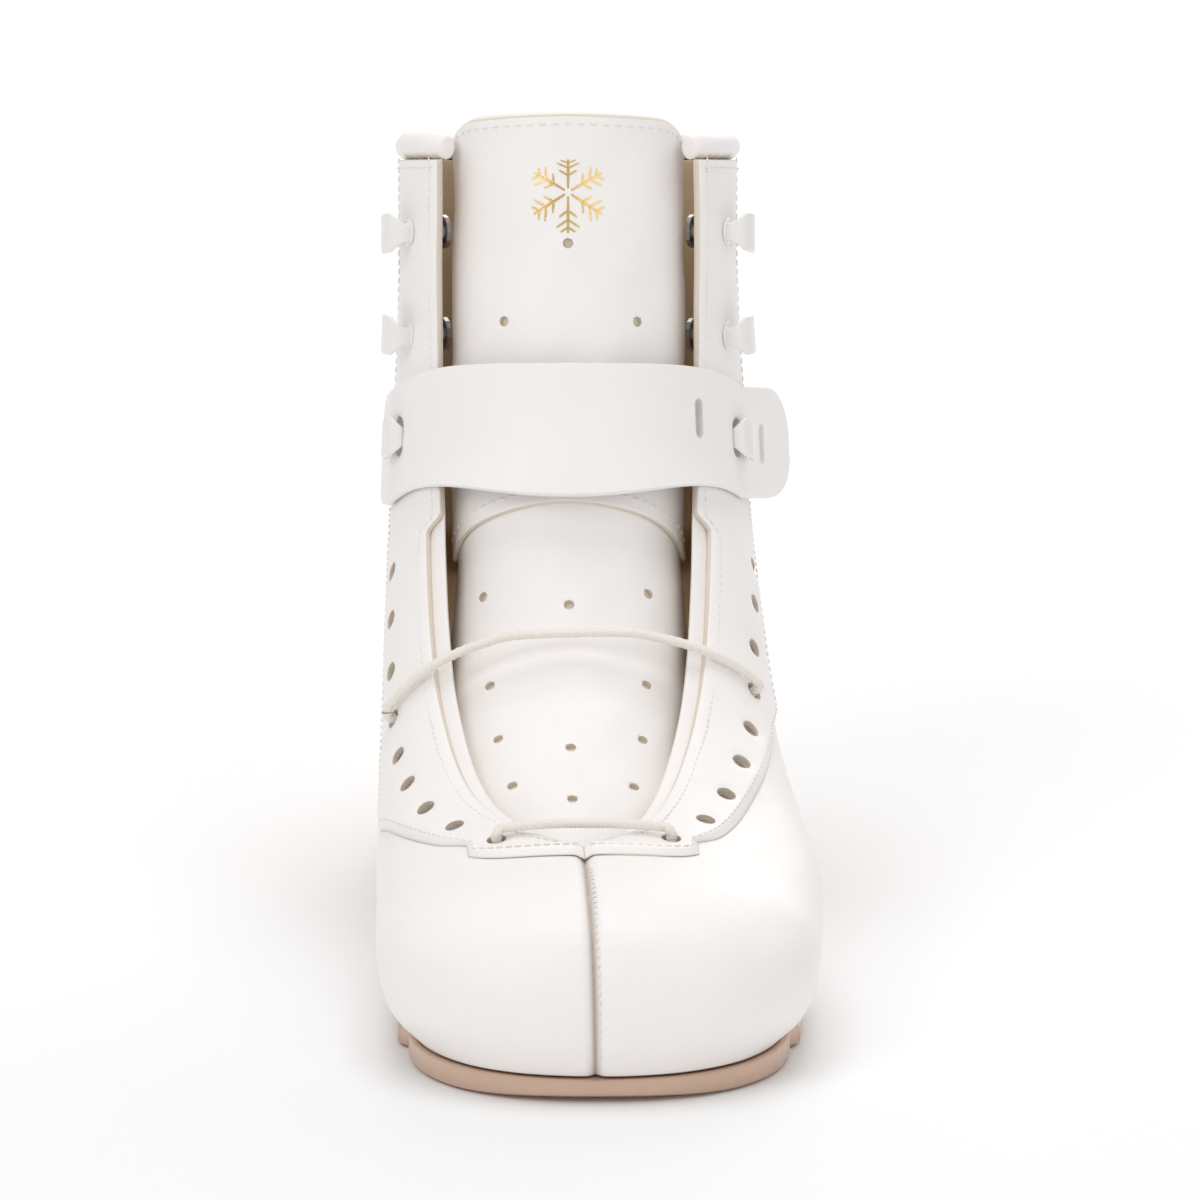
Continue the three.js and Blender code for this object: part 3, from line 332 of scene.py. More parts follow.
# %% Points of the upper
def read(u, column):
    u = np.asarray(u, float)
    step = np.clip(np.floor(u).astype(int), 0, TOP - 1)
    t = u - step
    a, b, c, d = (TABLE[np.clip(step + k, 0, TOP), column] for k in (-1, 0, 1, 2))
    return b + 0.5 * t * (c - a + t * (2 * a - 5 * b + 4 * c - d + t * (3 * (b - c) + d - a)))


def upper_raw(side, u, angle, offset=0.0):
    u, angle, offset = np.broadcast_arrays(*(np.asarray(value, float) for value in (u, angle, offset)))
    turn = np.clip(u - AT["flex"], 0, 1)
    u_base = np.where((turn > 0) & (turn < 1), AT["flex"] + np.sin(turn * np.pi / 2), u)
    front = np.stack([read(u, FRONT_Y), read(u, FRONT_Z)], -1)
    base_at = np.stack([read(u_base, BASE_Y), read(u_base, BASE_Z)], -1)
    height = np.linalg.norm(front - base_at, axis=-1)
    direction = (front - base_at) / height[..., None]
    base_column, wide_column = HALF[side]
    widest = read(u, wide_column) + offset
    base = np.minimum(np.maximum(read(u, base_column) * np.cos(turn * np.pi / 2), SEAM_HALF_GAP), widest)
    middle = np.maximum(read(u, BELLY) * height, 1 - offset)
    sine, cosine = np.maximum(np.sin(angle), 0), np.abs(np.cos(angle))
    power = 2 / read(u, CROWN)
    upper = angle <= np.pi / 2
    across = np.where(upper, widest * sine ** power, base + (widest - base) * sine)
    rising = middle + (height + offset - middle) * cosine ** power
    up = np.where(upper, rising, middle - (middle + offset) * cosine)
    x = read(u, CENTRE) + SIGN[side] * np.maximum(across, SEAM_HALF_GAP)
    back, height_up = base_at[..., 0] + direction[..., 0] * up, base_at[..., 1] + direction[..., 1] * up
    return np.stack([x, back, height_up], -1)


def upper_point(side, u, angle, offset=0.0):
    return (upper_raw(side, u, angle, offset) + SHIFT) * MM


def angle_at_half_width(side, u, half):
    return np.arcsin(np.minimum(half / read(u, HALF[side][1]), 1) ** (read(u, CROWN) / 2))


def unit(v):
    return v / np.maximum(np.linalg.norm(v, axis=-1, keepdims=True), 1e-12)


def normal_at(side, u, angle):
    low, high = np.maximum(np.asarray(angle) - 0.02, 0.03), np.minimum(np.asarray(angle) + 0.02, np.pi - 0.03)
    along = upper_raw(side, np.asarray(u) + 0.04, angle) - upper_raw(side, np.asarray(u) - 0.04, angle)
    around = (upper_raw(side, u, np.maximum(high, low + 0.02))
              - upper_raw(side, u, np.minimum(low, high - 0.02)))
    return unit(np.cross(along, around)) * -SIGN[side]


def angle_further(side, u, angle, distance):
    """The angle that lies so many millimetres further round a section."""
    u, angle = np.broadcast_arrays(np.asarray(u, float), np.asarray(angle, float))
    angle, left = angle.copy(), np.full(angle.shape, abs(distance))
    step = math.copysign(0.004, distance)
    point = upper_raw(side, u, angle)
    for _ in range(700):
        going = (left > 0) & (angle + step > 0) & (angle + step < np.pi)
        if not going.any():
            break
        angle = np.where(going, angle + step, angle)
        following = upper_raw(side, u, angle)
        left = left - np.where(going, np.linalg.norm(following - point, axis=-1), 0)
        point = following
    return angle


# %% Lines on the leather: the throat, the lace holes and the edge of the facings
QUARTER_LEATHER, LINING_OUTER, LINING_INNER = 1.8, -3.6, -5.2
FACING_UNDER, FACING_FACE = 0.05, 1.7
THROAT_HALF_GAP, THROAT_RUN, THROAT_FULLNESS = 28.6, 105.0, 2.0
THROAT_FRONT = TABLE[AT["throat"], FRONT_Y]
FACING_FRONT_MARGIN, FACING_SIDE_MARGIN = 7.0, 5.2
LACE_HOLES, LACE_PITCH, LACE_HOLE_RADIUS = 9, 14.8, 2.2
LACE_HALF_WIDTH, LACE_RUN, LACE_LEAD, LACE_START = 40.6, 80.0, 7.7, 9.8
LACE_SHARE = {MEDIAL: 1.0, LATERAL: 0.955}


def u_where(column, value, low=3.0, high=TOP):
    for _ in range(40):
        middle = (low + high) / 2
        low, high = (middle, high) if read(middle, column) < value else (low, middle)
    return (low + high) / 2


FACING_FRONT = u_where(FRONT_Y, THROAT_FRONT - FACING_FRONT_MARGIN)


def throat_half_gap(u):
    t = np.clip((read(u, FRONT_Y) - THROAT_FRONT) / THROAT_RUN, 0, 1)
    return THROAT_HALF_GAP * (1 - (1 - t) ** THROAT_FULLNESS) ** (1 / THROAT_FULLNESS)


def lace_half_width(u, margin=0.0):
    start = THROAT_FRONT - LACE_LEAD - margin
    t = np.clip(1 - (read(u, FRONT_Y) - start) / (LACE_RUN + margin), 0, 1)
    return (LACE_HALF_WIDTH + margin) * np.sqrt(1 - t * t)


def throat_angle(side, u, offset=0.0):
    half = throat_half_gap(u)
    wide = read(u, HALF[side][1]) + offset
    angle = np.arcsin(np.minimum(half / wide, 1) ** (read(u, CROWN) / 2))
    return np.where(np.asarray(u) <= AT["throat"], 0, angle)


def facing_angle(side, u):
    flare = np.maximum(FACING_FRONT, u)
    half = np.maximum(lace_half_width(flare, FACING_SIDE_MARGIN), 0.62 * LACE_HALF_WIDTH)
    return angle_at_half_width(side, flare, np.minimum(half, 0.975 * read(flare, HALF[side][1])))


def lace_places(side):
    u = u_where(FRONT_Y, THROAT_FRONT - LACE_LEAD + LACE_START)
    steps = u + np.arange(0, 6, 0.01)
    angles = angle_at_half_width(side, steps, lace_half_width(steps) * LACE_SHARE[side])
    line = upper_raw(side, steps, angles)
    run = np.concatenate([[0], np.cumsum(np.linalg.norm(np.diff(line, axis=0), axis=1))])
    picks = [int(np.searchsorted(run, LACE_PITCH * k)) for k in range(LACE_HOLES)]
    return [(side, steps[i], angles[i]) for i in picks]


LACES = {side: lace_places(side) for side in (MEDIAL, LATERAL)}
print("lace holes on a side", len(LACES[MEDIAL]))

# %% [markdown]
# Leather pieces are sheets with two faces and a rounded cut edge. One helper lofts a sheet from a grid of
# points on its outer face and one on its inner face. The rim bulges a little, as cut leather does, and
# takes its own colour.

# %% A sheet with a rounded rim
RIM_STEPS = 3


def perimeter(rows, columns):
    top = [(0, j) for j in range(columns)]
    right = [(i, columns - 1) for i in range(1, rows)]
    bottom = [(rows - 1, j) for j in range(columns - 2, -1, -1)]
    left = [(i, 0) for i in range(rows - 2, 0, -1)]
    return top + right + bottom + left


def sheet_mesh(name, outer, inner, bulge=0.0003, materials=(WHITE_LEATHER, RAW_EDGE), flip=False):
    rows, columns = outer.shape[:2]
    points = [outer.reshape(-1, 3), inner.reshape(-1, 3)]
    index = np.arange(rows * columns).reshape(rows, columns)
    quads = np.stack([index[:-1, :-1], index[:-1, 1:], index[1:, 1:], index[1:, :-1]], -1).reshape(-1, 4)
    faces = [quads, quads[:, ::-1] + rows * columns]
    edge = perimeter(rows, columns)
    around = np.array([index[i, j] for i, j in edge])
    inside = np.array([index[min(max(i, 1), rows - 2), min(max(j, 1), columns - 2)] for i, j in edge])
    away = unit(points[0][around] - points[0][inside])
    loops, start = [around], 2 * rows * columns
    for k in range(1, RIM_STEPS + 1):
        t = k / (RIM_STEPS + 1)
        ring = points[0][around] * (1 - t) + points[1][around] * t + away * bulge * math.sin(math.pi * t)
        points.append(ring)
        loops.append(np.arange(len(around)) + start)
        start += len(around)
    loops.append(around + rows * columns)
    rim = []
    for a, b in zip(loops, loops[1:]):
        rim.append(np.stack([np.roll(a, -1), a, b, np.roll(b, -1)], -1))
    faces_all = np.concatenate(faces + rim)
    if flip:
        faces_all = faces_all[:, ::-1]
    mesh = bpy.data.meshes.new(name)
    mesh.from_pydata(np.concatenate(points).tolist(), [], faces_all.tolist())
    for material in materials:
        mesh.materials.append(material)
    slots = np.zeros(len(faces_all), np.int32)
    slots[2 * len(quads):] = len(materials) - 1
    mesh.polygons.foreach_set("material_index", slots)
    mesh.shade_smooth()
    piece = bpy.data.objects.new(name, mesh)
    scene.collection.objects.link(piece)
    return point_out(piece)


def point_out(piece):
    form = bmesh.new()
    form.from_mesh(piece.data)
    if form.calc_volume(signed=True) < 0:
        bmesh.ops.reverse_faces(form, faces=form.faces)
    form.to_mesh(piece.data)
    form.free()
    return piece

# %% [markdown]
# Holes are punched by cutters: rods set along the leather's normal. Geometry Nodes put one rod on each
# point of a small mesh that carries the normals, and a Boolean takes them all away at once.

# %% Geometry Nodes: rods or stitches set on points
def node_group(name, inputs):
    tree = bpy.data.node_groups.new(name, "GeometryNodeTree")
    tree.interface.new_socket("Geometry", in_out="INPUT", socket_type="NodeSocketGeometry")
    ids = {}
    for label, kind, value in inputs:
        socket = tree.interface.new_socket(label, in_out="INPUT", socket_type=kind)
        if value is not None:
            socket.default_value = value
        ids[label] = socket.identifier
    tree.interface.new_socket("Geometry", in_out="OUTPUT", socket_type="NodeSocketGeometry")
    return tree, ids, tree.nodes.new("NodeGroupInput"), tree.nodes.new("NodeGroupOutput")


def named_vector(tree, name):
    node = tree.nodes.new("GeometryNodeInputNamedAttribute")
    node.data_type = "FLOAT_VECTOR"
    node.inputs["Name"].default_value = name
    return node.outputs["Attribute"]


def aligned(tree, normal, tangent):
    first = tree.nodes.new("FunctionNodeAlignRotationToVector")
    first.axis = "Z"
    tree.links.new(normal, first.inputs["Vector"])
    second = tree.nodes.new("FunctionNodeAlignRotationToVector")
    second.axis = "X"
    second.pivot_axis = "Z"
    tree.links.new(first.outputs[0], second.inputs["Rotation"])
    tree.links.new(tangent, second.inputs["Vector"])
    return second.outputs[0]


def close_tree(tree, geometry, source, result):
    realise = tree.nodes.new("GeometryNodeRealizeInstances")
    dress = tree.nodes.new("GeometryNodeSetMaterial")
    tree.links.new(geometry, realise.inputs["Geometry"])
    tree.links.new(realise.outputs["Geometry"], dress.inputs["Geometry"])
    tree.links.new(source.outputs["Finish"], dress.inputs["Material"])
    tree.links.new(dress.outputs["Geometry"], result.inputs["Geometry"])


def make_punches():
    tree, ids, source, result = node_group("punches", [
        ("Radius", "NodeSocketFloat", 0.002), ("Depth", "NodeSocketFloat", 0.02),
        ("Finish", "NodeSocketMaterial", None)])
    rod = tree.nodes.new("GeometryNodeMeshCylinder")
    rod.inputs["Vertices"].default_value = 24
    tree.links.new(source.outputs["Radius"], rod.inputs["Radius"])
    tree.links.new(source.outputs["Depth"], rod.inputs["Depth"])
    place = tree.nodes.new("GeometryNodeInstanceOnPoints")
    tree.links.new(source.outputs["Geometry"], place.inputs["Points"])
    tree.links.new(rod.outputs["Mesh"], place.inputs["Instance"])
    turned_rod = aligned(tree, named_vector(tree, "normal"), named_vector(tree, "tangent"))
    tree.links.new(turned_rod, place.inputs["Rotation"])
    close_tree(tree, place.outputs["Instances"], source, result)
    return tree, ids


def make_stitches():
    tree, ids, source, result = node_group("stitches", [
        ("Pitch", "NodeSocketFloat", 0.002), ("Length", "NodeSocketFloat", 0.0015),
        ("Thickness", "NodeSocketFloat", 0.0005), ("Slant", "NodeSocketFloat", 0.0),
        ("Finish", "NodeSocketMaterial", None)])
    line = tree.nodes.new("GeometryNodeMeshToCurve")
    tree.links.new(source.outputs["Geometry"], line.inputs["Mesh"])
    steps = tree.nodes.new("GeometryNodeResampleCurve")
    steps.mode = "LENGTH"
    tree.links.new(line.outputs["Curve"], steps.inputs["Curve"])
    tree.links.new(source.outputs["Pitch"], steps.inputs["Length"])
    bead = tree.nodes.new("GeometryNodeMeshUVSphere")
    bead.inputs["Segments"].default_value = 6
    bead.inputs["Rings"].default_value = 5
    bead.inputs["Radius"].default_value = 0.5
    place = tree.nodes.new("GeometryNodeInstanceOnPoints")
    tree.links.new(steps.outputs["Curve"], place.inputs["Points"])
    tree.links.new(bead.outputs["Mesh"], place.inputs["Instance"])
    tangent = tree.nodes.new("GeometryNodeInputTangent")
    lying = aligned(tree, named_vector(tree, "normal"), tangent.outputs["Tangent"])
    slant = tree.nodes.new("FunctionNodeRotateRotation")
    slant.rotation_space = "LOCAL"
    turn = tree.nodes.new("FunctionNodeAxisAngleToRotation")
    turn.inputs["Axis"].default_value = (0, 0, 1)
    tree.links.new(source.outputs["Slant"], turn.inputs["Angle"])
    tree.links.new(lying, slant.inputs["Rotation"])
    tree.links.new(turn.outputs["Rotation"], slant.inputs["Rotate By"])
    tree.links.new(slant.outputs["Rotation"], place.inputs["Rotation"])
    size = tree.nodes.new("ShaderNodeCombineXYZ")
    for socket, label in (("X", "Length"), ("Y", "Thickness"), ("Z", "Thickness")):
        tree.links.new(source.outputs[label], size.inputs[socket])
    tree.links.new(size.outputs[0], place.inputs["Scale"])
    close_tree(tree, place.outputs["Instances"], source, result)
    return tree, ids


PUNCHES, STITCHES = make_punches(), make_stitches()


# %% Run a tree and keep its result as a plain mesh
def grown(name, points, normals, tangents, tree_and_ids, values, closed=False, linked=False):
    mesh = bpy.data.meshes.new(name)
    points = np.asarray(points, float)
    edges = [(i, i + 1) for i in range(len(points) - 1)] if linked else []
    if closed:
        edges.append((len(points) - 1, 0))
    mesh.from_pydata(points.tolist(), edges, [])
    for label, vectors in (("normal", normals), ("tangent", tangents)):
        layer = mesh.attributes.new(label, "FLOAT_VECTOR", "POINT")
        layer.data.foreach_set("vector", np.asarray(vectors, np.float32).reshape(-1))
    piece = bpy.data.objects.new(name, mesh)
    scene.collection.objects.link(piece)
    tree, ids = tree_and_ids
    modifier = piece.modifiers.new("grow", "NODES")
    modifier.node_group = tree
    for label, value in values.items():
        modifier[ids[label]] = value
    return plain(piece)


def plain(piece):
    """The object with its modifiers turned into its mesh."""
    view = bpy.context.evaluated_depsgraph_get()
    finished = bpy.data.meshes.new_from_object(piece.evaluated_get(view), depsgraph=view)
    piece.modifiers.clear()
    piece.data = finished
    finished.name = piece.name
    return piece


def punch(piece, points, normals, radius, depth, finish_inside):
    tangents = np.roll(np.asarray(normals), 1, axis=-1)
    cutters = grown("punches " + piece.name, points, normals, tangents, PUNCHES,
                    {"Radius": radius * MM, "Depth": depth * MM, "Finish": finish_inside})
    return cut_away(piece, cutters)


def cut_away(piece, cutter):
    modifier = piece.modifiers.new("cut", "BOOLEAN")
    modifier.operation = "DIFFERENCE"
    modifier.solver = "MANIFOLD"
    modifier.object = cutter
    plain(piece)
    bpy.data.objects.remove(cutter)
    return piece


def stitch_row(name, body, points, normals, pitch=2.2, length=1.7, thickness=0.55, slant=0.0,
               slot="white_leather"):
    stitches = grown(name, points, normals, normals, STITCHES, {
        "Pitch": pitch * MM, "Length": length * MM, "Thickness": thickness * MM,
        "Slant": slant, "Finish": THREAD},
        linked=True)
    stitches.data.shade_smooth()
    if body is not None:
        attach(stitches, body)
    return stitches

# %% [markdown]
# The two quarters are the halves of the boot's leather. They meet in a seam down the toe, where both edges
# turn in and make a pinched groove with small puckers. Each one is lofted finely, then punched for laces
# and hooks.

# %% Places of the hooks
HOOK_HEIGHTS = (109.5, 132.5, 155.5)
HOOK_LEVELS = ("lower", "middle", "top")
HOOK_HALF_WIDTH, HOOK_STEM_RADIUS = 34.4, 1.6


def hook_place(side, height):
    low, high = float(AT["waist"]), float(TOP)
    for _ in range(40):
        u = (low + high) / 2
        angle = angle_at_half_width(side, u, HOOK_HALF_WIDTH)
        low, high = (u, high) if upper_raw(side, u, angle)[2] < height else (low, u)
    return side, u, float(angle)


HOOKS = {side: [hook_place(side, height) for height in HOOK_HEIGHTS] for side in (MEDIAL, LATERAL)}


def frame_at(side, u, angle, offset=0.0):
    """Point, normal, way up and way round on the leather, in metres and unit vectors."""
    up = unit(upper_raw(side, u + 0.05, angle, offset) - upper_raw(side, u - 0.05, angle, offset))
    around = unit(upper_raw(side, u, angle + 0.02, offset) - upper_raw(side, u, angle - 0.02, offset))
    out = unit(np.cross(up, around)) * -SIGN[side]
    square = unit(np.cross(out, up))
    if square @ around < 0:
        square = -square
    return upper_point(side, u, angle, offset), out, up, square


# %% Unevenness: slow waves that leave the leather a little alive
WAVES = [(0.11, 0.05, 0.02, 0.4, 0.10), (-0.06, 0.09, 0.05, 2.1, 0.09), (0.03, -0.04, 0.13, 4.0, 0.08),
         (0.16, 0.12, -0.09, 1.3, 0.05), (-0.21, 0.07, 0.17, 5.2, 0.035)]


def unevenness(points):
    total = np.zeros(points.shape[:-1])
    for x, y, z, phase, size in WAVES:
        total += size * np.sin(points @ np.array([x, y, z]) * 2 + phase)
    return total


# %% Seam pinch and puckers at the toe
SEAM_DEPTH, SEAM_WIDTH, PUCKER_PITCH, PUCKER_DEPTH = 1.5, 1.25, 4.3, 0.13


def seam_pinch(u, points, centre):
    away = np.abs(points[..., 0] - centre)
    run = points[..., 1] * 0.7 + points[..., 2]
    strength = np.clip((AT["throat"] + 0.1 - u) / 0.25, 0, 1)
    fading = np.exp(-away / 3.5) * (1 - np.exp(-away / 0.8))
    pucker = PUCKER_DEPTH * np.sin(run * 2 * np.pi / PUCKER_PITCH) * fading
    return strength * (-SEAM_DEPTH * np.exp(-(away / SEAM_WIDTH) ** 2) - 0.35 * np.exp(-away / 4.5) + pucker)


# Stores how much painted shade each point of a piece gets. The leather materials mix it in as dark brown.
def set_crease_shade(piece, values):
    layer = piece.data.attributes.new("crease_shade", "FLOAT", "POINT")
    layer.data.foreach_set("value", np.asarray(values, np.float32))


# %% Make the quarters and the linings
TOE_ROWS, LEG_ROWS, WRAP_COLUMNS = 90, 190, 120
ROW_U = np.concatenate([np.linspace(0, AT["throat"], TOE_ROWS)[:-1],
                        AT["throat"] + (TOP - AT["throat"]) * np.linspace(0, 1, LEG_ROWS) ** 1.6])


def wrap_grid(side, rows, offset, columns=WRAP_COLUMNS):
    """Angles over a whole side, with columns that follow the edge of the facing."""
    start, border = throat_angle(side, rows, offset), facing_angle(side, rows)
    t = np.linspace(0, 1, columns)[None, :]
    share = 0.3
    first = start[:, None] + (border - start)[:, None] * np.minimum(t / share, 1)
    return first + (np.pi - border)[:, None] * np.maximum((t - share) / (1 - share), 0)


def hole_places(side):
    lace = [(upper_point(side, u, a), normal_at(side, u, a)) for _, u, a in LACES[side]]
    hook = [(upper_point(side, u, a), normal_at(side, u, a)) for _, u, a in HOOKS[side]]
    return lace, hook


def make_quarter(side):
    u = np.broadcast_to(ROW_U[:, None], (len(ROW_U), WRAP_COLUMNS))
    angle = wrap_grid(side, ROW_U, 0.0)
    face = upper_raw(side, u, angle)
    centre = read(u, CENTRE)
    relief = unevenness(face) * 0.8 + seam_pinch(u, face, centre)
    for _, hole_u, hole_angle in LACES[side]:
        gap = np.linalg.norm(face - upper_raw(side, hole_u, hole_angle), axis=-1)
        relief -= 0.25 * np.exp(-(np.maximum(gap - LACE_HOLE_RADIUS, 0) / 1.2) ** 2)
    outer = upper_point(side, u, angle, relief)
    inner = upper_point(side, u, wrap_grid(side, ROW_U, -QUARTER_LEATHER),
                        np.minimum(relief, 0) * 0.5 - QUARTER_LEATHER)
    piece = sheet_mesh("leather_quarter_" + side, outer, inner)
    # Painted shade: the colour is darkened along the centre of the toe seam groove, where shade falls.
    away = np.abs(face[..., 0] - centre)
    seam_shade = np.exp(-(away / 0.75) ** 2) * (u < AT["throat"]) * 0.75
    crease_shade = np.zeros(len(piece.data.vertices))
    crease_shade[:seam_shade.size] = seam_shade.reshape(-1)
    set_crease_shade(piece, crease_shade)
    lace, hook = hole_places(side)
    punch(piece, [p for p, _ in lace], [n for _, n in lace], LACE_HOLE_RADIUS, 22, RAW_EDGE)
    punch(piece, [p for p, _ in hook], [n for _, n in hook], HOOK_STEM_RADIUS + 0.15, 22, RAW_EDGE)
    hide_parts("quarter_" + side)
    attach(piece, "boot")
    print(piece.name, len(piece.data.polygons))


def make_lining(side):
    rows = ROW_U[::2]
    u = np.broadcast_to(rows[:, None], (len(rows), WRAP_COLUMNS))
    face = upper_raw(side, u, wrap_grid(side, rows, LINING_OUTER), LINING_OUTER)
    edge = np.linalg.norm(face - face[:, :1], axis=-1)
    near = np.exp(-(edge / 5) ** 2) * (u > AT["throat"])
    rise = LINING_OUTER + (-QUARTER_LEATHER - 0.15 - LINING_OUTER) * near
    outer = upper_point(side, u, wrap_grid(side, rows, LINING_OUTER), rise)
    inner = upper_point(side, u, wrap_grid(side, rows, LINING_INNER), LINING_INNER + unevenness(face) * 0.4)
    piece = sheet_mesh("soft_lining_" + side, outer, inner, materials=(TAN_LINING, RAW_EDGE))
    lace, hook = hole_places(side)
    punch(piece, [p for p, _ in lace], [n for _, n in lace], LACE_HOLE_RADIUS - 0.3, 22, TAN_LINING)
    punch(piece, [p for p, _ in hook], [n for _, n in hook], HOOK_STEM_RADIUS + 0.2, 22, TAN_LINING)
    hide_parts("lining_" + side)
    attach(piece, "boot")


for one_side in (MEDIAL, LATERAL):
    make_quarter(one_side)
    make_lining(one_side)

# %% [markdown]
# The facings are a second leather layer, stitched over the quarters. They carry the holes and hooks. Their
# outer border is shaved thin, so it looks almost flush. Below the strap their inner edge stands back from
# the throat and leaves a narrow strip of the quarter with its raw edge in view. Above the strap the edge is
# turned over it.

# %% Make the facings
EDGE_STEP_BACK, STEP_ENDS_AT, SKIVE = 3.2, 101.0, 2.4


def smooth(t):
    t = np.clip(t, 0, 1)
    return t * t * (3 - 2 * t)


def facing_edge(side, u):
    step = EDGE_STEP_BACK * (1 - smooth((read(u, FRONT_Z) - STEP_ENDS_AT) / 3.0))
    t = np.clip((read(u, FRONT_Y) - THROAT_FRONT + step) / (THROAT_RUN + step), 0, 1)
    half = (THROAT_HALF_GAP + step) * (1 - (1 - t) ** THROAT_FULLNESS) ** (1 / THROAT_FULLNESS)
    return np.where(t <= 0, 0, angle_at_half_width(side, u, half))


FACING_ROWS, FACING_COLUMNS, CORNER_RISE = 260, 44, 0.2
STITCH_DIP, STITCH_INSET = 0.12, 2.2


def facing_parts(side, rows=FACING_ROWS, columns=FACING_COLUMNS):
    u = FACING_FRONT + (TOP - FACING_FRONT) * np.linspace(0, 1, rows) ** 1.5
    start, end = facing_edge(side, u), facing_angle(side, u)
    t = np.linspace(0, 1, columns)[None, :]
    angle = start[:, None] + (end - start)[:, None] * t
    corner = CORNER_RISE * t ** 4 * (1 - smooth((u - FACING_FRONT) / 0.7))[:, None]
    return u[:, None] + corner, angle


def arc_runs(points):
    """Distance of each grid point from its row's last column and from the first row, along the grid."""
    across = np.linalg.norm(np.diff(points, axis=1), axis=-1)
    run = np.concatenate([np.zeros((len(points), 1)), np.cumsum(across, axis=1)], axis=1)
    down = np.linalg.norm(np.diff(points, axis=0), axis=-1)
    rise = np.concatenate([np.zeros((1, points.shape[1])), np.cumsum(down, axis=0)], axis=0)
    return run, run[:, -1:] - run, rise


def make_facing(side):
    u, angle = facing_parts(side)
    face = upper_raw(side, u, angle)
    run, border, rise = arc_runs(face)
    thin = smooth(np.minimum(border, rise) / SKIVE)
    height = 0.35 + (FACING_FACE - 0.35) * thin - 0.25 * np.exp(-(run / 0.9) ** 2)
    height += unevenness(face) * 0.8 + seam_pinch(u, face, read(u, CENTRE)) * 0.5
    for _, hole_u, hole_angle in LACES[side]:
        gap = np.linalg.norm(face - upper_raw(side, hole_u, hole_angle), axis=-1)
        height -= 0.3 * np.exp(-(np.maximum(gap - LACE_HOLE_RADIUS, 0) / 1.1) ** 2)
    height -= STITCH_DIP * np.exp(-((np.minimum(border, rise) - STITCH_INSET) / 0.35) ** 2)
    piece = sheet_mesh("facing_overlay_" + side, upper_point(side, u, angle, height),
                       upper_point(side, u, angle, np.minimum(FACING_UNDER, height - 0.25)), bulge=0.0002)
    # Painted shadow: a thin darker line along the facing's outer border and its front edge, where the overlay
    # sits on the quarter.
    crease_shade = np.zeros(len(piece.data.vertices))
    crease_shade[:u.size] = (0.28 * np.exp(-(np.minimum(border, rise) / 0.5) ** 2)).reshape(-1)
    set_crease_shade(piece, crease_shade)
    lace, hook = hole_places(side)
    punch(piece, [p for p, _ in lace], [n for _, n in lace], LACE_HOLE_RADIUS, 22, RAW_EDGE)
    punch(piece, [p for p, _ in hook], [n for _, n in hook], HOOK_STEM_RADIUS + 0.15, 22, RAW_EDGE)
    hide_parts("facing_" + side)
    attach(piece, "boot")


def facing_stitches(side):
    u, angle = facing_parts(side, rows=200, columns=80)
    face = upper_raw(side, u, angle)
    run, border, rise = arc_runs(face)
    low = int(np.argmax(rise[:, 40] > 2.4))
    outer = [(i, int(np.argmin(np.abs(border[i] - 2.3)))) for i in range(low, len(u))]
    front = [(low, j) for j in range(4, outer[0][1], 3)]
    inner = [(i, int(np.argmin(np.abs(run[i] - 2.6)))) for i in range(len(u)) if rise[i, 0] > 6]
    for label, cells in (("border", front + outer[::2]), ("edge", inner[::2])):
        picked_u = np.array([u[c] for c in cells])
        picked_angle = np.array([angle[c] for c in cells])
        points = upper_point(side, picked_u, picked_angle, FACING_FACE - 0.02)
        stitch_row(f"stitches_{label}_{side}", "boot", points, normal_at(side, picked_u, picked_angle),
                   pitch=2.1, length=1.6, thickness=0.42)


for one_side in (MEDIAL, LATERAL):
    make_facing(one_side)
    facing_stitches(one_side)

# %% [markdown]
# The toe seam is closed by small slanted stitches, just to one side of the groove.

# %% Toe seam stitches
SEAM_ROWS = np.linspace(0.25, 3.45, 60)
seam_side = 1.3 / read(SEAM_ROWS, HALF[MEDIAL][1])
SEAM_ANGLES = seam_side ** (read(SEAM_ROWS, CROWN) / 2)
for label, slant in (("a", 0.75), ("b", -0.75)):
    lifted = upper_raw(MEDIAL, SEAM_ROWS, SEAM_ANGLES)
    depth = seam_pinch(SEAM_ROWS, lifted, read(SEAM_ROWS, CENTRE))
    stitch_row("seam_stitches_" + label, "boot", upper_point(MEDIAL, SEAM_ROWS, SEAM_ANGLES, depth + 0.05),
               normal_at(MEDIAL, SEAM_ROWS, SEAM_ANGLES), pitch=2.1, length=1.9, thickness=0.38, slant=slant)

# %% [markdown]
# The tongue is leather over a soft pad. It has two covers: a long one down the instep, and a shaft cover
# that laps over it with a curved edge. Both cross the line that the tongue folds on, and each is one
# whole sheet across it. Small vent holes are punched through the covers.

# %% Points of the tongue
TONGUE_SHAFT_HALF_WIDTH, TONGUE_VAMP_HALF_WIDTH, TONGUE_DROP, TONGUE_RISE = 25.7, 29.0, 2.6, 10.0
TONGUE_FIRST, TONGUE_FOLD_HEIGHT, TONGUE_EDGE = AT["throat"] + 0.12, 104.0, 0.93
TONGUE_COVER, TONGUE_PADDING = 1.4, 5.0


def tongue_centre(v):
    v = np.asarray(v, float)
    inside = np.minimum(v, TOP)
    here = np.stack([read(inside, FRONT_Y), read(inside, FRONT_Z)], -1)
    lean = TABLE[TOP, :2] - np.stack([read(TOP - 0.5, FRONT_Y), read(TOP - 0.5, FRONT_Z)], -1)
    return here + np.maximum(v - TOP, 0)[..., None] * TONGUE_RISE * unit(lean)


def mix(a, b, t):
    return a + (b - a) * t


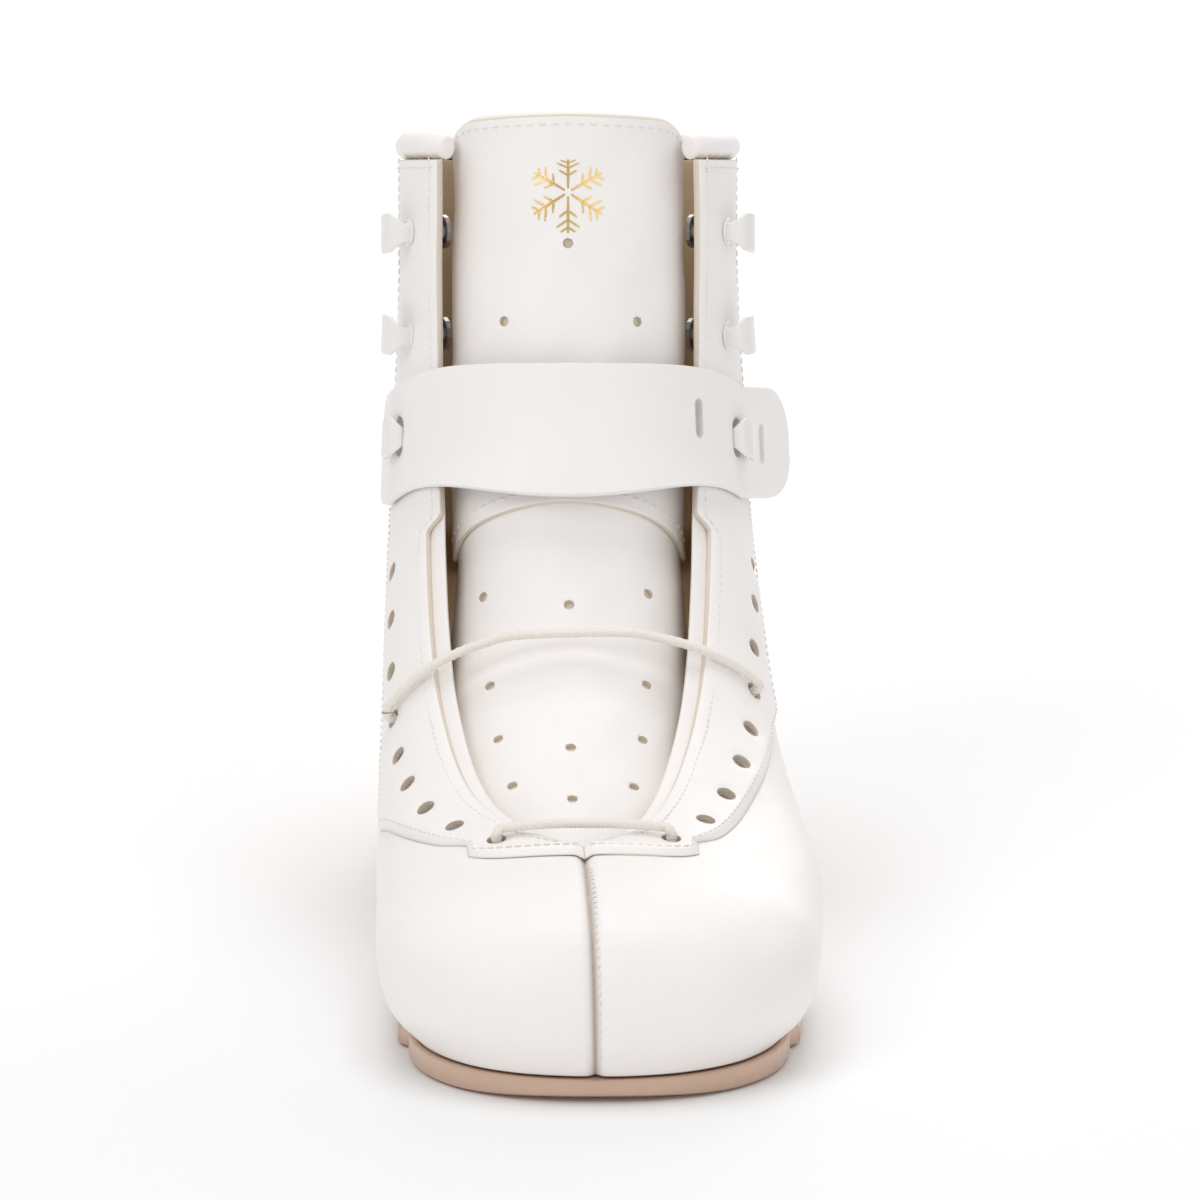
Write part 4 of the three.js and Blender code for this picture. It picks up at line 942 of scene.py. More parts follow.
def tongue_raw(v, turn, offset=0.0):
    v, turn, offset = np.broadcast_arrays(*(np.asarray(value, float) for value in (v, turn, offset)))
    here = tongue_centre(v)
    run = unit(tongue_centre(v + 0.1) - tongue_centre(v - 0.1))
    climb = smooth((v - AT["ball"]) / (AT["flex"] - AT["ball"]))
    start = smooth((v - TONGUE_FIRST) / 1.1)
    half = mix(TONGUE_VAMP_HALF_WIDTH, TONGUE_SHAFT_HALF_WIDTH, climb) * (0.42 + 0.58 * start)
    wrap = mix(15, 24, climb) * (0.35 + 0.65 * start)
    angle = turn * np.pi / 2
    depth = mix(8.2, TONGUE_DROP, start) - offset + (wrap + offset) * (1 - np.cos(angle))
    x = read(np.minimum(v, TOP), CENTRE) + (half + offset) * np.sin(angle)
    return np.stack([x, here[..., 0] + run[..., 1] * depth, here[..., 1] - run[..., 0] * depth], -1)


def tongue_point(v, turn, offset=0.0):
    return (tongue_raw(v, turn, offset) + SHIFT) * MM


def tongue_normal(v, turn):
    turn = np.asarray(turn, float)
    along = tongue_raw(v + 0.05, turn) - tongue_raw(v - 0.05, turn)
    around = tongue_raw(v, turn + 0.02) - tongue_raw(v, turn - 0.02)
    return unit(np.cross(around, along))


def v_at_height(height):
    low, high = float(AT["ball"]), float(TOP + 1)
    for _ in range(40):
        v = (low + high) / 2
        low, high = (v, high) if tongue_centre(v)[1] < height else (low, v)
    return low


FOLD_V = v_at_height(TONGUE_FOLD_HEIGHT)
print("tongue folds at", round(FOLD_V, 3))
TONGUE_BLEND = [tuple(tongue_point(FOLD_V + k, 0.0).tolist()) for k in (-0.62, 0.62)]
TONGUE_BODY = "tongue"


def bend_with_tongue(piece):
    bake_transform(piece)


# %% Covers of the tongue
LAP_CENTRE_V, LAP_DROP, LAP_LIFT = v_at_height(103.2), 0.46, 1.25
COVER_TOP = TOP + 1.0
TOP_CORNER = 0.42


def lap_line(turn):
    return LAP_CENTRE_V - LAP_DROP * np.abs(turn / TONGUE_EDGE) ** 1.7


def top_line(turn):
    """The tongue's upper edge: nearly straight, with rounded corners."""
    corner = np.clip((np.abs(turn) / TONGUE_EDGE - (1 - TOP_CORNER)) / TOP_CORNER, 0, 1)
    return COVER_TOP - 0.1 * np.abs(turn) - 0.62 * (1 - np.sqrt(np.maximum(1 - corner ** 2.2, 0)))


def tongue_grid(low, high, rows, columns):
    turn = np.linspace(-TONGUE_EDGE, TONGUE_EDGE, columns)[None, :]
    t = np.linspace(0, 1, rows)[:, None]
    v = low(turn) + (high(turn) - low(turn)) * t
    return v, np.broadcast_to(turn, v.shape)


def tongue_relief(v, turn):
    """The pad shows through the cover: full in the middle and soft at its edges."""
    points = tongue_raw(v, turn)
    return unevenness(points) * 1.6 - 0.5 * smooth((np.abs(turn) - 0.55) / 0.38)


def tongue_sheet(name, low, high, lift, rows, columns=90, materials=(WHITE_LEATHER, RAW_EDGE)):
    v, turn = tongue_grid(low, high, rows, columns)
    relief = tongue_relief(v, turn)
    inner = tongue_point(v, turn, relief + lift - TONGUE_COVER + 0.15)
    return sheet_mesh(name, tongue_point(v, turn, relief + lift), inner,
                      materials=materials), v, turn


VENTS_UPPER = [(12.72, 0.0), (11.55, -0.36), (11.55, 0.40), (10.75, 0.0), (9.95, -0.36), (9.95, 0.38),
               (9.35, 0.0)]
VENTS_LOWER = [(7.45, -0.52), (7.45, 0.46), (7.2, 0.0), (6.35, -0.44), (6.35, 0.42), (5.72, -0.38),
               (5.72, 0.38),
               (5.56, 0.0), (5.2, -0.30), (5.2, 0.32), (5.0, 0.0)]
VENT_RADIUS = 1.15


def vents(piece, places):
    v, turn = (np.array(c) for c in zip(*places))
    punch(piece, tongue_point(v, turn), tongue_normal(v, turn), VENT_RADIUS, 8, FELT)


lower_cover, low_v, low_turn = tongue_sheet("tongue_instep_cover", lambda t: TONGUE_FIRST + 0 * t,
                                            lambda t: lap_line(t) + 0.45, 0.0, 150)
vents(lower_cover, VENTS_LOWER)
upper_cover, high_v, high_turn = tongue_sheet("tongue_shaft_cover", lap_line, top_line, LAP_LIFT, 170)
vents(upper_cover, VENTS_UPPER)
for cover, node in ((lower_cover, "tongue_lower_cover"), (upper_cover, "tongue_upper_cover")):
    set_crease_shade(cover, np.zeros(len(cover.data.vertices)))
    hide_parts(node)
    bend_with_tongue(cover)

# %% The pad inside the tongue, with a soft lip above the cover
PAD_ROWS, PAD_COLUMNS = 120, 60


def make_tongue_pad():
    v, turn = tongue_grid(lambda t: TONGUE_FIRST + 0.02 + 0 * t, lambda t: top_line(t) + 0.06,
                          PAD_ROWS, PAD_COLUMNS)
    lip = np.exp(-((top_line(turn) - v) / 0.22) ** 2)
    edge = np.maximum(smooth((np.abs(turn) / TONGUE_EDGE - 0.86) / 0.14), 0)
    front = np.where(v > lap_line(turn) + 0.3, LAP_LIFT, 0) + tongue_relief(v, turn) - TONGUE_COVER + 0.1
    front = front - 0.6 * edge + 0.75 * lip
    swelling = 0.5 * np.sin(v * 4) * 0.2 + unevenness(tongue_raw(v, turn)) * 1.5
    depth = TONGUE_PADDING * (1 - 0.45 * edge) + swelling
    back = -TONGUE_COVER - 0.3 - depth + LAP_LIFT * 0.3
    pad = sheet_mesh("tongue_pad", tongue_point(v, turn, front), tongue_point(v, turn, back), bulge=0.0016,
                     materials=(CREAM_LINING, WHITE_LEATHER))
    set_crease_shade(pad, np.zeros(len(pad.data.vertices)))
    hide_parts("tongue_lower_padding", "tongue_upper_padding")
    bend_with_tongue(pad)


make_tongue_pad()

# %% Stitch rows on the tongue
def tongue_stitches(name, v, turn, lift, **sizes):
    points = tongue_point(v, turn, tongue_relief(v, turn) + lift)
    row = stitch_row(name, None, points, tongue_normal(v, turn), **sizes)
    bend_with_tongue(row)


across = np.linspace(-0.9, 0.9, 90)
tongue_stitches("stitches_tongue_lap", lap_line(across) + 0.19, across, LAP_LIFT + 0.05,
                pitch=2.6, length=1.9, thickness=0.5)
tongue_stitches("stitches_tongue_top", top_line(across) - 0.17, across, LAP_LIFT + 0.05,
                pitch=2.9, length=1.7, thickness=0.45)

# %% [markdown]
# A small gold emblem is stamped on the shaft of the tongue. It is a plain snow crystal: six arms with side
# branches, laid on the leather as thin foil.

# %% Gold snow crystal
EMBLEM_V, EMBLEM_RADIUS, FOIL = 13.45, 8.4, 0.07


def crystal_strokes():
    strokes = []
    for k in range(6):
        turn = math.radians(60 * k + 30)
        arm = np.array([math.cos(turn), math.sin(turn)])
        strokes.append((arm * 0.8, arm * EMBLEM_RADIUS, 0.62))
        for place, reach in ((0.42, 2.3), (0.64, 3.0), (0.84, 1.9)):
            for sign in (-1, 1):
                branch = math.radians(60 * k + 30 + sign * 55)
                root = arm * EMBLEM_RADIUS * place
                strokes.append((root, root + reach * np.array([math.cos(branch), math.sin(branch)]), 0.5))
    return strokes


def foil_stroke(form, start, end, width):
    steps = 8
    side = unit(end - start)[::-1] * np.array([-1, 1]) * width / 2
    rows = []
    for i in range(steps + 1):
        t = i / steps
        taper = 0.35 + 0.65 * math.sin(math.pi * min(max(t, 0.08), 0.92)) ** 0.5
        middle = start + (end - start) * t
        row = []
        for lift, wide in ((FOIL, 1.0), (FOIL, -1.0), (-0.25, -1.0), (-0.25, 1.0)):
            at = middle + side * wide * taper
            turn = float(np.arcsin(np.clip(at[0] / TONGUE_SHAFT_HALF_WIDTH, -1, 1)) / (np.pi / 2))
            v = EMBLEM_V + at[1] / 14.6
            place = tongue_point(v, turn, float(tongue_relief(v, turn)) + LAP_LIFT + lift)
            row.append(form.verts.new(place.tolist()))
        rows.append(row)
    for a, b in zip(rows, rows[1:]):
        for k in range(4):
            form.faces.new((a[k], a[(k + 1) % 4], b[(k + 1) % 4], b[k]))
    form.faces.new(rows[0][::-1])
    form.faces.new(rows[-1])


def make_emblem():
    form = bmesh.new()
    for start, end, width in crystal_strokes():
        foil_stroke(form, start, end, width)
    bmesh.ops.recalc_face_normals(form, faces=form.faces)
    mesh = bpy.data.meshes.new("gold_emblem")
    form.to_mesh(mesh)
    form.free()
    mesh.materials.append(GOLD)
    emblem = bpy.data.objects.new("gold_emblem", mesh)
    scene.collection.objects.link(emblem)
    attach(emblem, TONGUE_BODY)


make_emblem()

# %% [markdown]
# The ankle strap is one thick leather band. It hooks over the lower pair of hooks by long slots, its outer
# end runs straight off the boot, and it bends near the other hook when it is opened. A single sheet is
# lofted round the ankle.

# %% The strap's path
STRAP_WIDTH, STRAP_OUTER, STRAP_INNER, STRAP_DIP, STRAP_TAPER = 29.3, 4.3, 2.1, 6.2, 0.24
STRAP_LATERAL_TAIL, STRAP_MEDIAL_TAIL, STRAP_HINGE_INSET, TAIL_LEAD = 17.0, 36.0, 9.0, 7.0
SLOT_PITCH, SLOT_LENGTH, SLOT_WIDTH, HOOKED_SLOT_WIDTH = 17.0, 9.0, 2.7, 5.4
STRAP_U = (HOOKS[MEDIAL][0][1] + HOOKS[LATERAL][0][1]) / 2
LATERAL_END = float(angle_further(LATERAL, STRAP_U, HOOKS[LATERAL][0][2], STRAP_LATERAL_TAIL))
HINGE_ANGLE = float(angle_further(LATERAL, STRAP_U, HOOKS[LATERAL][0][2], -STRAP_HINGE_INSET))
TAIL_ANGLE = float(angle_further(MEDIAL, STRAP_U, HOOKS[MEDIAL][0][2], TAIL_LEAD))
TAIL_LENGTH = STRAP_MEDIAL_TAIL - TAIL_LEAD


def strap_row(side, angle, w):
    span = upper_raw(side, STRAP_U + 0.5, angle) - upper_raw(side, STRAP_U - 0.5, angle)
    per = np.linalg.norm(span, axis=-1)
    sag = STRAP_DIP * np.cos(np.minimum(angle / HOOKS[side][0][2], 1) * np.pi / 2) ** 2
    taper = 1 - STRAP_TAPER * smooth(angle / HOOKS[side][0][2]) * (np.asarray(w) > 0)
    return STRAP_U + (w * taper - sag) / per


def strap_line(side, angle, widths, offset):
    return upper_raw(side, strap_row(side, angle, widths), angle, offset)


STRAP_ROWS = 41
ACROSS = np.sin(np.linspace(-1, 1, STRAP_ROWS) * np.pi / 2)


def strap_columns():
    """Stations along the strap: (side, angle, run past the boot, how far the width narrows)."""
    stations = []
    for t in np.linspace(0, 1, 9):
        rounding = 0.72 + 0.28 * math.sqrt(1 - (1 - t) ** 2.4)
        stations.append((LATERAL, LATERAL_END - 0.06 * t * 1.2, 0.0, rounding))
    for angle in np.linspace(LATERAL_END - 0.09, 0.02, 90):
        stations.append((LATERAL, angle, 0.0, 1.0))
    for angle in np.linspace(0.02, TAIL_ANGLE, 90):
        stations.append((MEDIAL, angle, 0.0, 1.0))
    tip = 1 - 0.4 * np.cos(np.linspace(0.05, 0.992, 26) * np.pi / 2)
    for t in np.concatenate([np.linspace(0.02, 0.6, 26), tip]):
        bend = max((t - 0.5) / 0.5, 0)
        rounding = math.sqrt(max(1 - (bend * 0.985) ** 2.6, 0))
        stations.append((MEDIAL, TAIL_ANGLE, TAIL_LENGTH * t, rounding))
    return stations


def make_strap_grid(offset):
    _, out, _, square = frame_at(MEDIAL, STRAP_U, TAIL_ANGLE, STRAP_OUTER)
    columns = []
    for side, angle, run, narrow in strap_columns():
        widths = ACROSS * STRAP_WIDTH / 2 * narrow
        edge = np.maximum(np.abs(ACROSS) - 0.94, 0) / 0.06
        line = strap_line(side, angle, widths, offset)
        line = line + square * run + out * (0.06 * run + 0.9 * smooth(run / TAIL_LENGTH))
        if run > 0:
            wave = unevenness(line) * 1.1 - (0.28 * edge ** 2 if offset == STRAP_OUTER else 0)
            line = line + wave[:, None] * out
        columns.append(line)
    return np.stack(columns, axis=1)


outer_strap = (make_strap_grid(STRAP_OUTER) + SHIFT) * MM
inner_strap = (make_strap_grid(STRAP_INNER) + SHIFT) * MM
strap = sheet_mesh("ankle_strap", outer_strap, inner_strap, bulge=0.00035,
                   materials=(STRAP_LEATHER, STRAP_LEATHER))
print("strap", strap.dimensions[:])


# %% Slots in the strap
def slot_cutter(name, centre, out, up, width, length):
    """A rod with a stadium section, set along the strap's normal."""
    across = np.cross(up, out)
    outline = []
    for k in range(24):
        turn = 2 * math.pi * k / 24
        end = (length - width) / 2 * (1 if math.sin(turn) >= 0 else -1)
        outline.append((width / 2 * math.cos(turn), width / 2 * math.sin(turn) + end))
    points = []
    for depth in (-9.0, 9.0):
        for a, b in outline:
            points.append(centre + (across * a + up * b + out * depth) * MM)
    faces = [tuple(range(23, -1, -1)), tuple(range(24, 48))]
    faces += [(k, (k + 1) % 24, (k + 1) % 24 + 24, k + 24) for k in range(24)]
    mesh = bpy.data.meshes.new(name)
    mesh.from_pydata([p.tolist() for p in points], [], faces)
    mesh.materials.append(STRAP_LEATHER)
    piece = bpy.data.objects.new(name, mesh)
    scene.collection.objects.link(piece)
    return point_out(piece)


OPEN_SLOT_ANGLE = float(angle_further(MEDIAL, STRAP_U, HOOKS[MEDIAL][0][2], -SLOT_PITCH))
tail_at, tail_out, tail_up, tail_square = frame_at(MEDIAL, STRAP_U, TAIL_ANGLE, STRAP_INNER)
SLOTS = [(*frame_at(*HOOKS[MEDIAL][0], STRAP_INNER)[:3], HOOKED_SLOT_WIDTH),
         (*frame_at(MEDIAL, STRAP_U, OPEN_SLOT_ANGLE, STRAP_INNER)[:3], SLOT_WIDTH),
         (tail_at + tail_square * (SLOT_PITCH - TAIL_LEAD) * MM, tail_out, tail_up, SLOT_WIDTH),
         (*frame_at(*HOOKS[LATERAL][0], STRAP_INNER)[:3], HOOKED_SLOT_WIDTH)]
for number, (centre, out, up, width) in enumerate(SLOTS):
    cut_away(strap, slot_cutter(f"slot {number}", centre, out, up, width, SLOT_LENGTH))
set_crease_shade(strap, np.zeros(len(strap.data.vertices)))

# %% Read the strap's hinge, and leave the strap where it lies
HINGE = next(joint for joint in frame["joints"] if joint["name"] == "strap_swing")
print({key: HINGE[key] for key in HINGE if key != "name"})
hinge_at, _, _, hinge_round = frame_at(LATERAL, STRAP_U, HINGE_ANGLE, STRAP_OUTER)
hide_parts("strap_anchor", "strap_band")
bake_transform(strap)

# %% [markdown]
# Padded rolls crown the collar, one on each side. Each is soft leather over foam. A plain tube is set on
# the cut edges, pinned along its underside, and blown up by a short cloth simulation, so that it crowns as
# a pad does. Then the stitched gathers are pressed into its foot.

# %% Blow up a pad
SWELL_FRAMES, SWELL_SCALE = 20, 50.0


def swell(piece, held, pressure, most):
    """Inflate a closed mesh with cloth, hold the vertices of weight 1, and let no point move too far."""
    start = np.array([v.co[:] for v in piece.data.vertices])
    group = piece.vertex_groups.new(name="held")
    for index, weight in enumerate(held):
        group.add([index], float(weight), "REPLACE")
    piece.data.vertices.foreach_set("co", (start * SWELL_SCALE).reshape(-1))
    piece.data.update()
    cloth = piece.modifiers.new("cloth", "CLOTH")
    settings = cloth.settings
    settings.quality = 8
    settings.mass = 0.015
    settings.tension_stiffness = settings.compression_stiffness = 8
    settings.shear_stiffness = 4
    settings.bending_stiffness = 0.8
    settings.use_pressure = True
    settings.uniform_pressure_force = pressure
    settings.vertex_group_mass = "held"
    settings.effector_weights.gravity = 0
    cloth.collision_settings.use_collision = False
    scene.frame_start, scene.frame_end = 1, SWELL_FRAMES
    for number in range(1, SWELL_FRAMES + 1):
        scene.frame_set(number)
    plain(piece)
    scene.frame_set(1)
    piece.data.transform(Matrix.Scale(1 / SWELL_SCALE, 4))
    end = np.array([v.co[:] for v in piece.data.vertices])
    move = end - start
    size = np.linalg.norm(move, axis=1, keepdims=True)
    end = start + move * np.minimum(1, most / np.maximum(size, 1e-9))
    piece.data.vertices.foreach_set("co", end.reshape(-1))
    piece.data.update()
    print(piece.name, "moved up to", round(float(size.max()) / MM, 2), "mm")


# %% Collar rolls
ROLL_HEIGHT, ROLL_THICKNESS, ROLL_GAP = 6.3, 7.6, 0.3
ROLL_ROWS, ROLL_SIDES = 110, 22
ROLL_MIDDLE = (FACING_FACE + LINING_INNER) / 2 - 0.5
GATHERS = 26


def roll_grid(side):
    first = float(throat_angle(side, TOP)) + 0.012
    angles = np.concatenate([[first], np.linspace(first + 0.012, np.pi - 0.004, ROLL_ROWS - 1)])
    rings = []
    for angle in angles:
        out = normal_at(side, TOP, min(angle, np.pi - 0.03))
        level = unit(np.array([out[0], out[1], 0.0]))
        centre = upper_raw(side, TOP, angle, ROLL_MIDDLE)
        along = (angle - first) / 0.2
        full = 0.45 + 0.55 * math.sqrt(1 - (1 - min(along, 1)) ** 2)
        ring = []
        for k in range(ROLL_SIDES):
            turn = 2 * math.pi * k / ROLL_SIDES
            lift = math.sin(turn)
            wide = math.cos(turn) * (1 - 0.10 * max(lift, 0))
            ring.append(centre + level * ROLL_THICKNESS / 2 * 0.93 * wide * full
                        + np.array([0, 0, ROLL_GAP + ROLL_HEIGHT / 2 * (1 + lift) * (0.66 + 0.34 * full)]))
        rings.append(ring)
    return (np.array(rings) + SHIFT) * MM


def tube_mesh(name, grid, materials):
    rows, sides = grid.shape[:2]
    index = np.arange(rows * sides).reshape(rows, sides)
    after = np.roll(index, -1, axis=1)
    quads = np.stack([index[:-1], after[:-1], after[1:], index[1:]], -1).reshape(-1, 4).tolist()
    ends = [grid[0].mean(0, keepdims=True), grid[-1].mean(0, keepdims=True)]
    points = np.concatenate([grid.reshape(-1, 3), *ends])
    start, end = rows * sides, rows * sides + 1
    caps = [(start, int(after[0, k]), int(index[0, k])) for k in range(sides)]
    caps += [(end, int(index[-1, k]), int(after[-1, k])) for k in range(sides)]
    mesh = bpy.data.meshes.new(name)
    mesh.from_pydata(points.tolist(), [], quads + caps)
    for material in materials:
        mesh.materials.append(material)
    mesh.shade_smooth()
    piece = bpy.data.objects.new(name, mesh)
    scene.collection.objects.link(piece)
    return point_out(piece)


def press_gathers(piece, grid):
    """Small folds where the roll is sewn to the leather, strongest near its foot."""
    rows, sides = grid.shape[:2]
    points = np.array([v.co[:] for v in piece.data.vertices])
    body = points[:rows * sides].reshape(rows, sides, 3)
    centre = body.mean(axis=1, keepdims=True)
    run = np.linspace(0, 1, rows)[:, None]
    turn = 2 * np.pi * np.arange(sides)[None, :] / sides
    low = np.clip(0.35 - np.sin(turn), 0, 1) * (np.sin(turn) < 0.5)
    wave = np.sin(run * GATHERS * 2 * np.pi + 1.3 * np.sin(run * 17)) * 0.35 + np.sin(run * 61) * 0.12
    body += unit(body - centre) * (wave * low * 0.55)[..., None] * MM
    piece.data.vertices.foreach_set("co", points.reshape(-1))
    piece.data.update()


def make_roll(side):
    grid = roll_grid(side)
    roll = tube_mesh("collar_pad_" + side, grid, (WHITE_LEATHER,))
    turn = 2 * np.pi * np.arange(ROLL_SIDES) / ROLL_SIDES
    held = np.tile((np.sin(turn) < -0.5).astype(float), ROLL_ROWS)
    swell(roll, np.concatenate([held, [1.0, 1.0]]), 3.0, 1.1 * MM)
    press_gathers(roll, grid)
    set_crease_shade(roll, np.zeros(len(roll.data.vertices)))
    smoother = roll.modifiers.new("smooth", "SUBSURF")
    smoother.levels = smoother.render_levels = 1
    plain(roll)
    roll.data.shade_smooth()
    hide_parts("collar_roll_" + side)
    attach(roll, "boot")


for one_side in (MEDIAL, LATERAL):
    make_roll(one_side)

# %% Collar seam stitches
for one_side in (MEDIAL, LATERAL):
    seam_angles = np.linspace(float(throat_angle(one_side, TOP)) + 0.06, np.pi - 0.12, 90)
    seam_u = np.full(seam_angles.shape, TOP - 0.16)
    seam_lift = np.where(seam_angles < float(facing_angle(one_side, TOP)), FACING_FACE, 0.0)
    stitch_row("stitches_collar_" + one_side, "boot", upper_point(one_side, seam_u, seam_angles, seam_lift),
               normal_at(one_side, seam_u, seam_angles), pitch=2.5, length=1.8, thickness=0.45)

# %% [markdown]
# The back stay is a strip that covers the back seam from the heel to the collar.

# %% Back stay
STAY_FROM, STAY_SHARE, STAY_FACE = 10.5, 0.88, 1.7


def make_back_stay():
    rows = np.linspace(STAY_FROM, TOP, 110)
    share = np.linspace(STAY_SHARE, 1, 22)
    grids = []
    for side in (MEDIAL, LATERAL):
        border = facing_angle(side, rows)[:, None]
        angle = border + (np.pi - border) * share[None, :]
        grids.append((side, np.broadcast_to(rows[:, None], angle.shape), angle))
    run = np.concatenate([share, share[::-1]])
    edge = np.minimum((run - STAY_SHARE) / (1 - STAY_SHARE), 1) * 10
    start = (rows - STAY_FROM)[:, None] * 26
    thin = smooth(np.minimum(edge[None, :], np.minimum(start, (rows[-1] - rows)[:, None] * 26 + 1)) / 1.6)
    faces = []
    for height in (0.3 + 1.25 * thin, np.zeros_like(thin) + 0.08):
        parts = []
        for number, (side, u, angle) in enumerate(grids):
            half = height[:, :22] if number == 0 else height[:, 22:][:, ::-1]
            points = upper_point(side, u, angle, half)
            parts.append(points if number == 0 else points[:, ::-1])
        faces.append(np.concatenate(parts, axis=1))
    stay = sheet_mesh("back_strip", faces[0], faces[1], bulge=0.0002)
    # Painted shade: the stay's colour is darkened toward its thinned edges, where it meets the quarters.
    crease_shade = np.zeros(len(stay.data.vertices))
    crease_shade[:thin.size] = (0.2 * (1 - thin)).reshape(-1)
    set_crease_shade(stay, crease_shade)
    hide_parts("back_stay")
    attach(stay, "boot")
    for side in (MEDIAL, LATERAL):
        u = rows[3:-4]
        border = facing_angle(side, u)
        angle = border + (np.pi - border) * (STAY_SHARE + 0.018)
        stitch_row("stitches_stay_" + side, "boot", upper_point(side, u, angle, STAY_FACE - 0.1),
                   normal_at(side, u, angle), pitch=2.4, length=1.7, thickness=0.42)


make_back_stay()

# %% [markdown]
# A lacing hook is a stamped metal tab, coated white. It stands on a round foot, curls outward over the lace
# and hangs down at its tip. Its rivet goes through the leather and is closed over a washer inside.

# %% Hooks
HOOK_PATH = [(-1.7, 1.9), (-2.15, 3.4), (-2.25, 4.9), (-1.6, 6.1), (0.0, 6.75), (2.2, 6.85), (4.3, 6.35),
             (5.9, 5.4), (6.7, 4.5)]
HOOK_PLATE = 1.15
HOOK_STEPS, HOOK_ACROSS = 40, 17


def smooth_path(points, count):
    points = np.array(points, float)
    run = np.concatenate([[0], np.cumsum(np.linalg.norm(np.diff(points, axis=0), axis=1))])
    run /= run[-1]
    padded = np.vstack([2 * points[0] - points[1], points, 2 * points[-1] - points[-2]])
    result = []
    for t in np.linspace(0, 1, count):
        i = min(int(np.searchsorted(run, t, side="right")) - 1, len(points) - 2)
        k = (t - run[i]) / (run[i + 1] - run[i])
        a, b, c, d = padded[i:i + 4]
        result.append(b + 0.5 * k * (c - a + k * (2 * a - 5 * b + 4 * c - d + k * (3 * (b - c) + d - a))))
    return np.array(result)


def hook_tab(name, at, out, up, around):
    path = smooth_path(HOOK_PATH, HOOK_STEPS)
    tangent = unit(np.gradient(path, axis=0))
    side_way = np.stack([-tangent[:, 1], tangent[:, 0]], -1)
    t = np.linspace(0, 1, HOOK_STEPS)
    half = 1.7 + 2.35 * smooth((t - 0.12) / 0.3)
    half = half * np.sqrt(np.maximum(1 - np.clip((t - 0.8) / 0.2, 0, 1) ** 2.6 * 0.72, 0.02))
    across = np.sin(np.linspace(-1, 1, HOOK_ACROSS) * np.pi / 2)
    droop = -0.11 * np.maximum(t - 0.4, 0)
    sheets = []
    for lift in (HOOK_PLATE / 2, -HOOK_PLATE / 2):
        face = path + side_way * lift
        grid = (face[:, 0, None, None] * around + face[:, 1, None, None] * out
                + (half[:, None] * across[None, :] + droop[:, None] * 14)[..., None] * up)
        sheets.append(at + grid * MM)
    return sheet_mesh(name, sheets[0], sheets[1], bulge=0.00045, materials=(HOOK_WHITE,))


def turned(name, at, out, profile, sides, material):
    """A body of revolution about the normal. The profile is (radius, height), from axis to axis."""
    helper = np.array([1.0, 0, 0]) if abs(out[0]) < 0.8 else np.array([0, 1.0, 0])
    a = unit(np.cross(out, helper))
    b = np.cross(out, a)
    form = bmesh.new()
    rings = []
    for radius, height in profile:
        if radius == 0:
            rings.append([form.verts.new((at + out * height * MM).tolist())])
        else:
            ring = []
            for k in range(sides):
                turn = 2 * math.pi * k / sides
                spoke = (a * math.cos(turn) + b * math.sin(turn)) * radius
                ring.append(form.verts.new((at + (out * height + spoke) * MM).tolist()))
            rings.append(ring)
    for low, high in zip(rings, rings[1:]):
        for k in range(sides):
            n = (k + 1) % sides
            if len(low) == 1:
                form.faces.new((low[0], high[n], high[k]))
            elif len(high) == 1:
                form.faces.new((low[k], low[n], high[0]))
            else:
                form.faces.new((low[k], low[n], high[n], high[k]))
    bmesh.ops.recalc_face_normals(form, faces=form.faces)
    mesh = bpy.data.meshes.new(name)
    form.to_mesh(mesh)
    form.free()
    mesh.materials.append(material)
    mesh.shade_smooth()
    piece = bpy.data.objects.new(name, mesh)
    scene.collection.objects.link(piece)
    return point_out(piece)


RIVET = [(0, -7.8), (1.2, -7.75), (1.95, -7.4), (2.05, -7.15), (1.5, -7.05), (1.5, 1.72), (3.1, 1.78),
         (3.2, 2.0),
         (2.9, 2.3), (1.9, 2.5), (1.6, 2.9), (0, 3.0)]


def joined(name, pieces):
    form = bmesh.new()
    for piece in pieces:
        form.from_mesh(piece.data)
    mesh = bpy.data.meshes.new(name)
    form.to_mesh(mesh)
    form.free()
    for material in pieces[0].data.materials:
        mesh.materials.append(material)
    for piece in pieces:
        bpy.data.objects.remove(piece)
    mesh.shade_smooth()
    whole = bpy.data.objects.new(name, mesh)
    scene.collection.objects.link(whole)
    return whole


def make_hooks(side):
    for level, place in zip(HOOK_LEVELS, HOOKS[side]):
        at, out, up, around = frame_at(*place)
        tab = hook_tab("tab", at, out, up, around)
        rivet = turned("rivet", at, out, RIVET, 24, HOOK_WHITE)
        hook = joined(f"lacing_hook_{side}_{level}", [tab, rivet])
        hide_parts(f"hook_{side}_{level}")
        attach(hook, "boot")


for one_side in (MEDIAL, LATERAL):
    make_hooks(one_side)

# %% [markdown]
# The sole is one moulded layer with a lacquered bronze edge. It is lofted along the boot with a rounded
# edge: two small steps of a curve at the top and bottom of its rim.

# %% Sole edge path
SOLE_EDGE, SOLE_THICKNESS, TOE_SPRING, TOE_SPRING_RUN = 1.3, 4.5, 1.8, 16.0
HEEL_BREAST, HEEL_LIFT, BOOT_LENGTH = 200.0, 5.0, 262


def sole_path(side, outset):
    toe = np.stack([upper_raw(side, 0.0, a) for a in np.pi * 0.98 * np.linspace(0, 1, 60)])
    wall = np.stack([upper_raw(side, u, np.pi) for u in np.linspace(0.02, AT["heel_back"], 200)])
    points = np.concatenate([toe, wall])
    run = unit(np.gradient(points[:, :2], axis=0))
    x = points[:, 0] + SIGN[side] * np.abs(run[:, 1]) * outset
    y = points[:, 1] - SIGN[side] * run[:, 0] * outset
    order = np.maximum.accumulate(y) + np.arange(len(y)) * 1e-7
    return order, x, points[:, 2]


SEAT_PATH = sole_path(MEDIAL, 0.0)


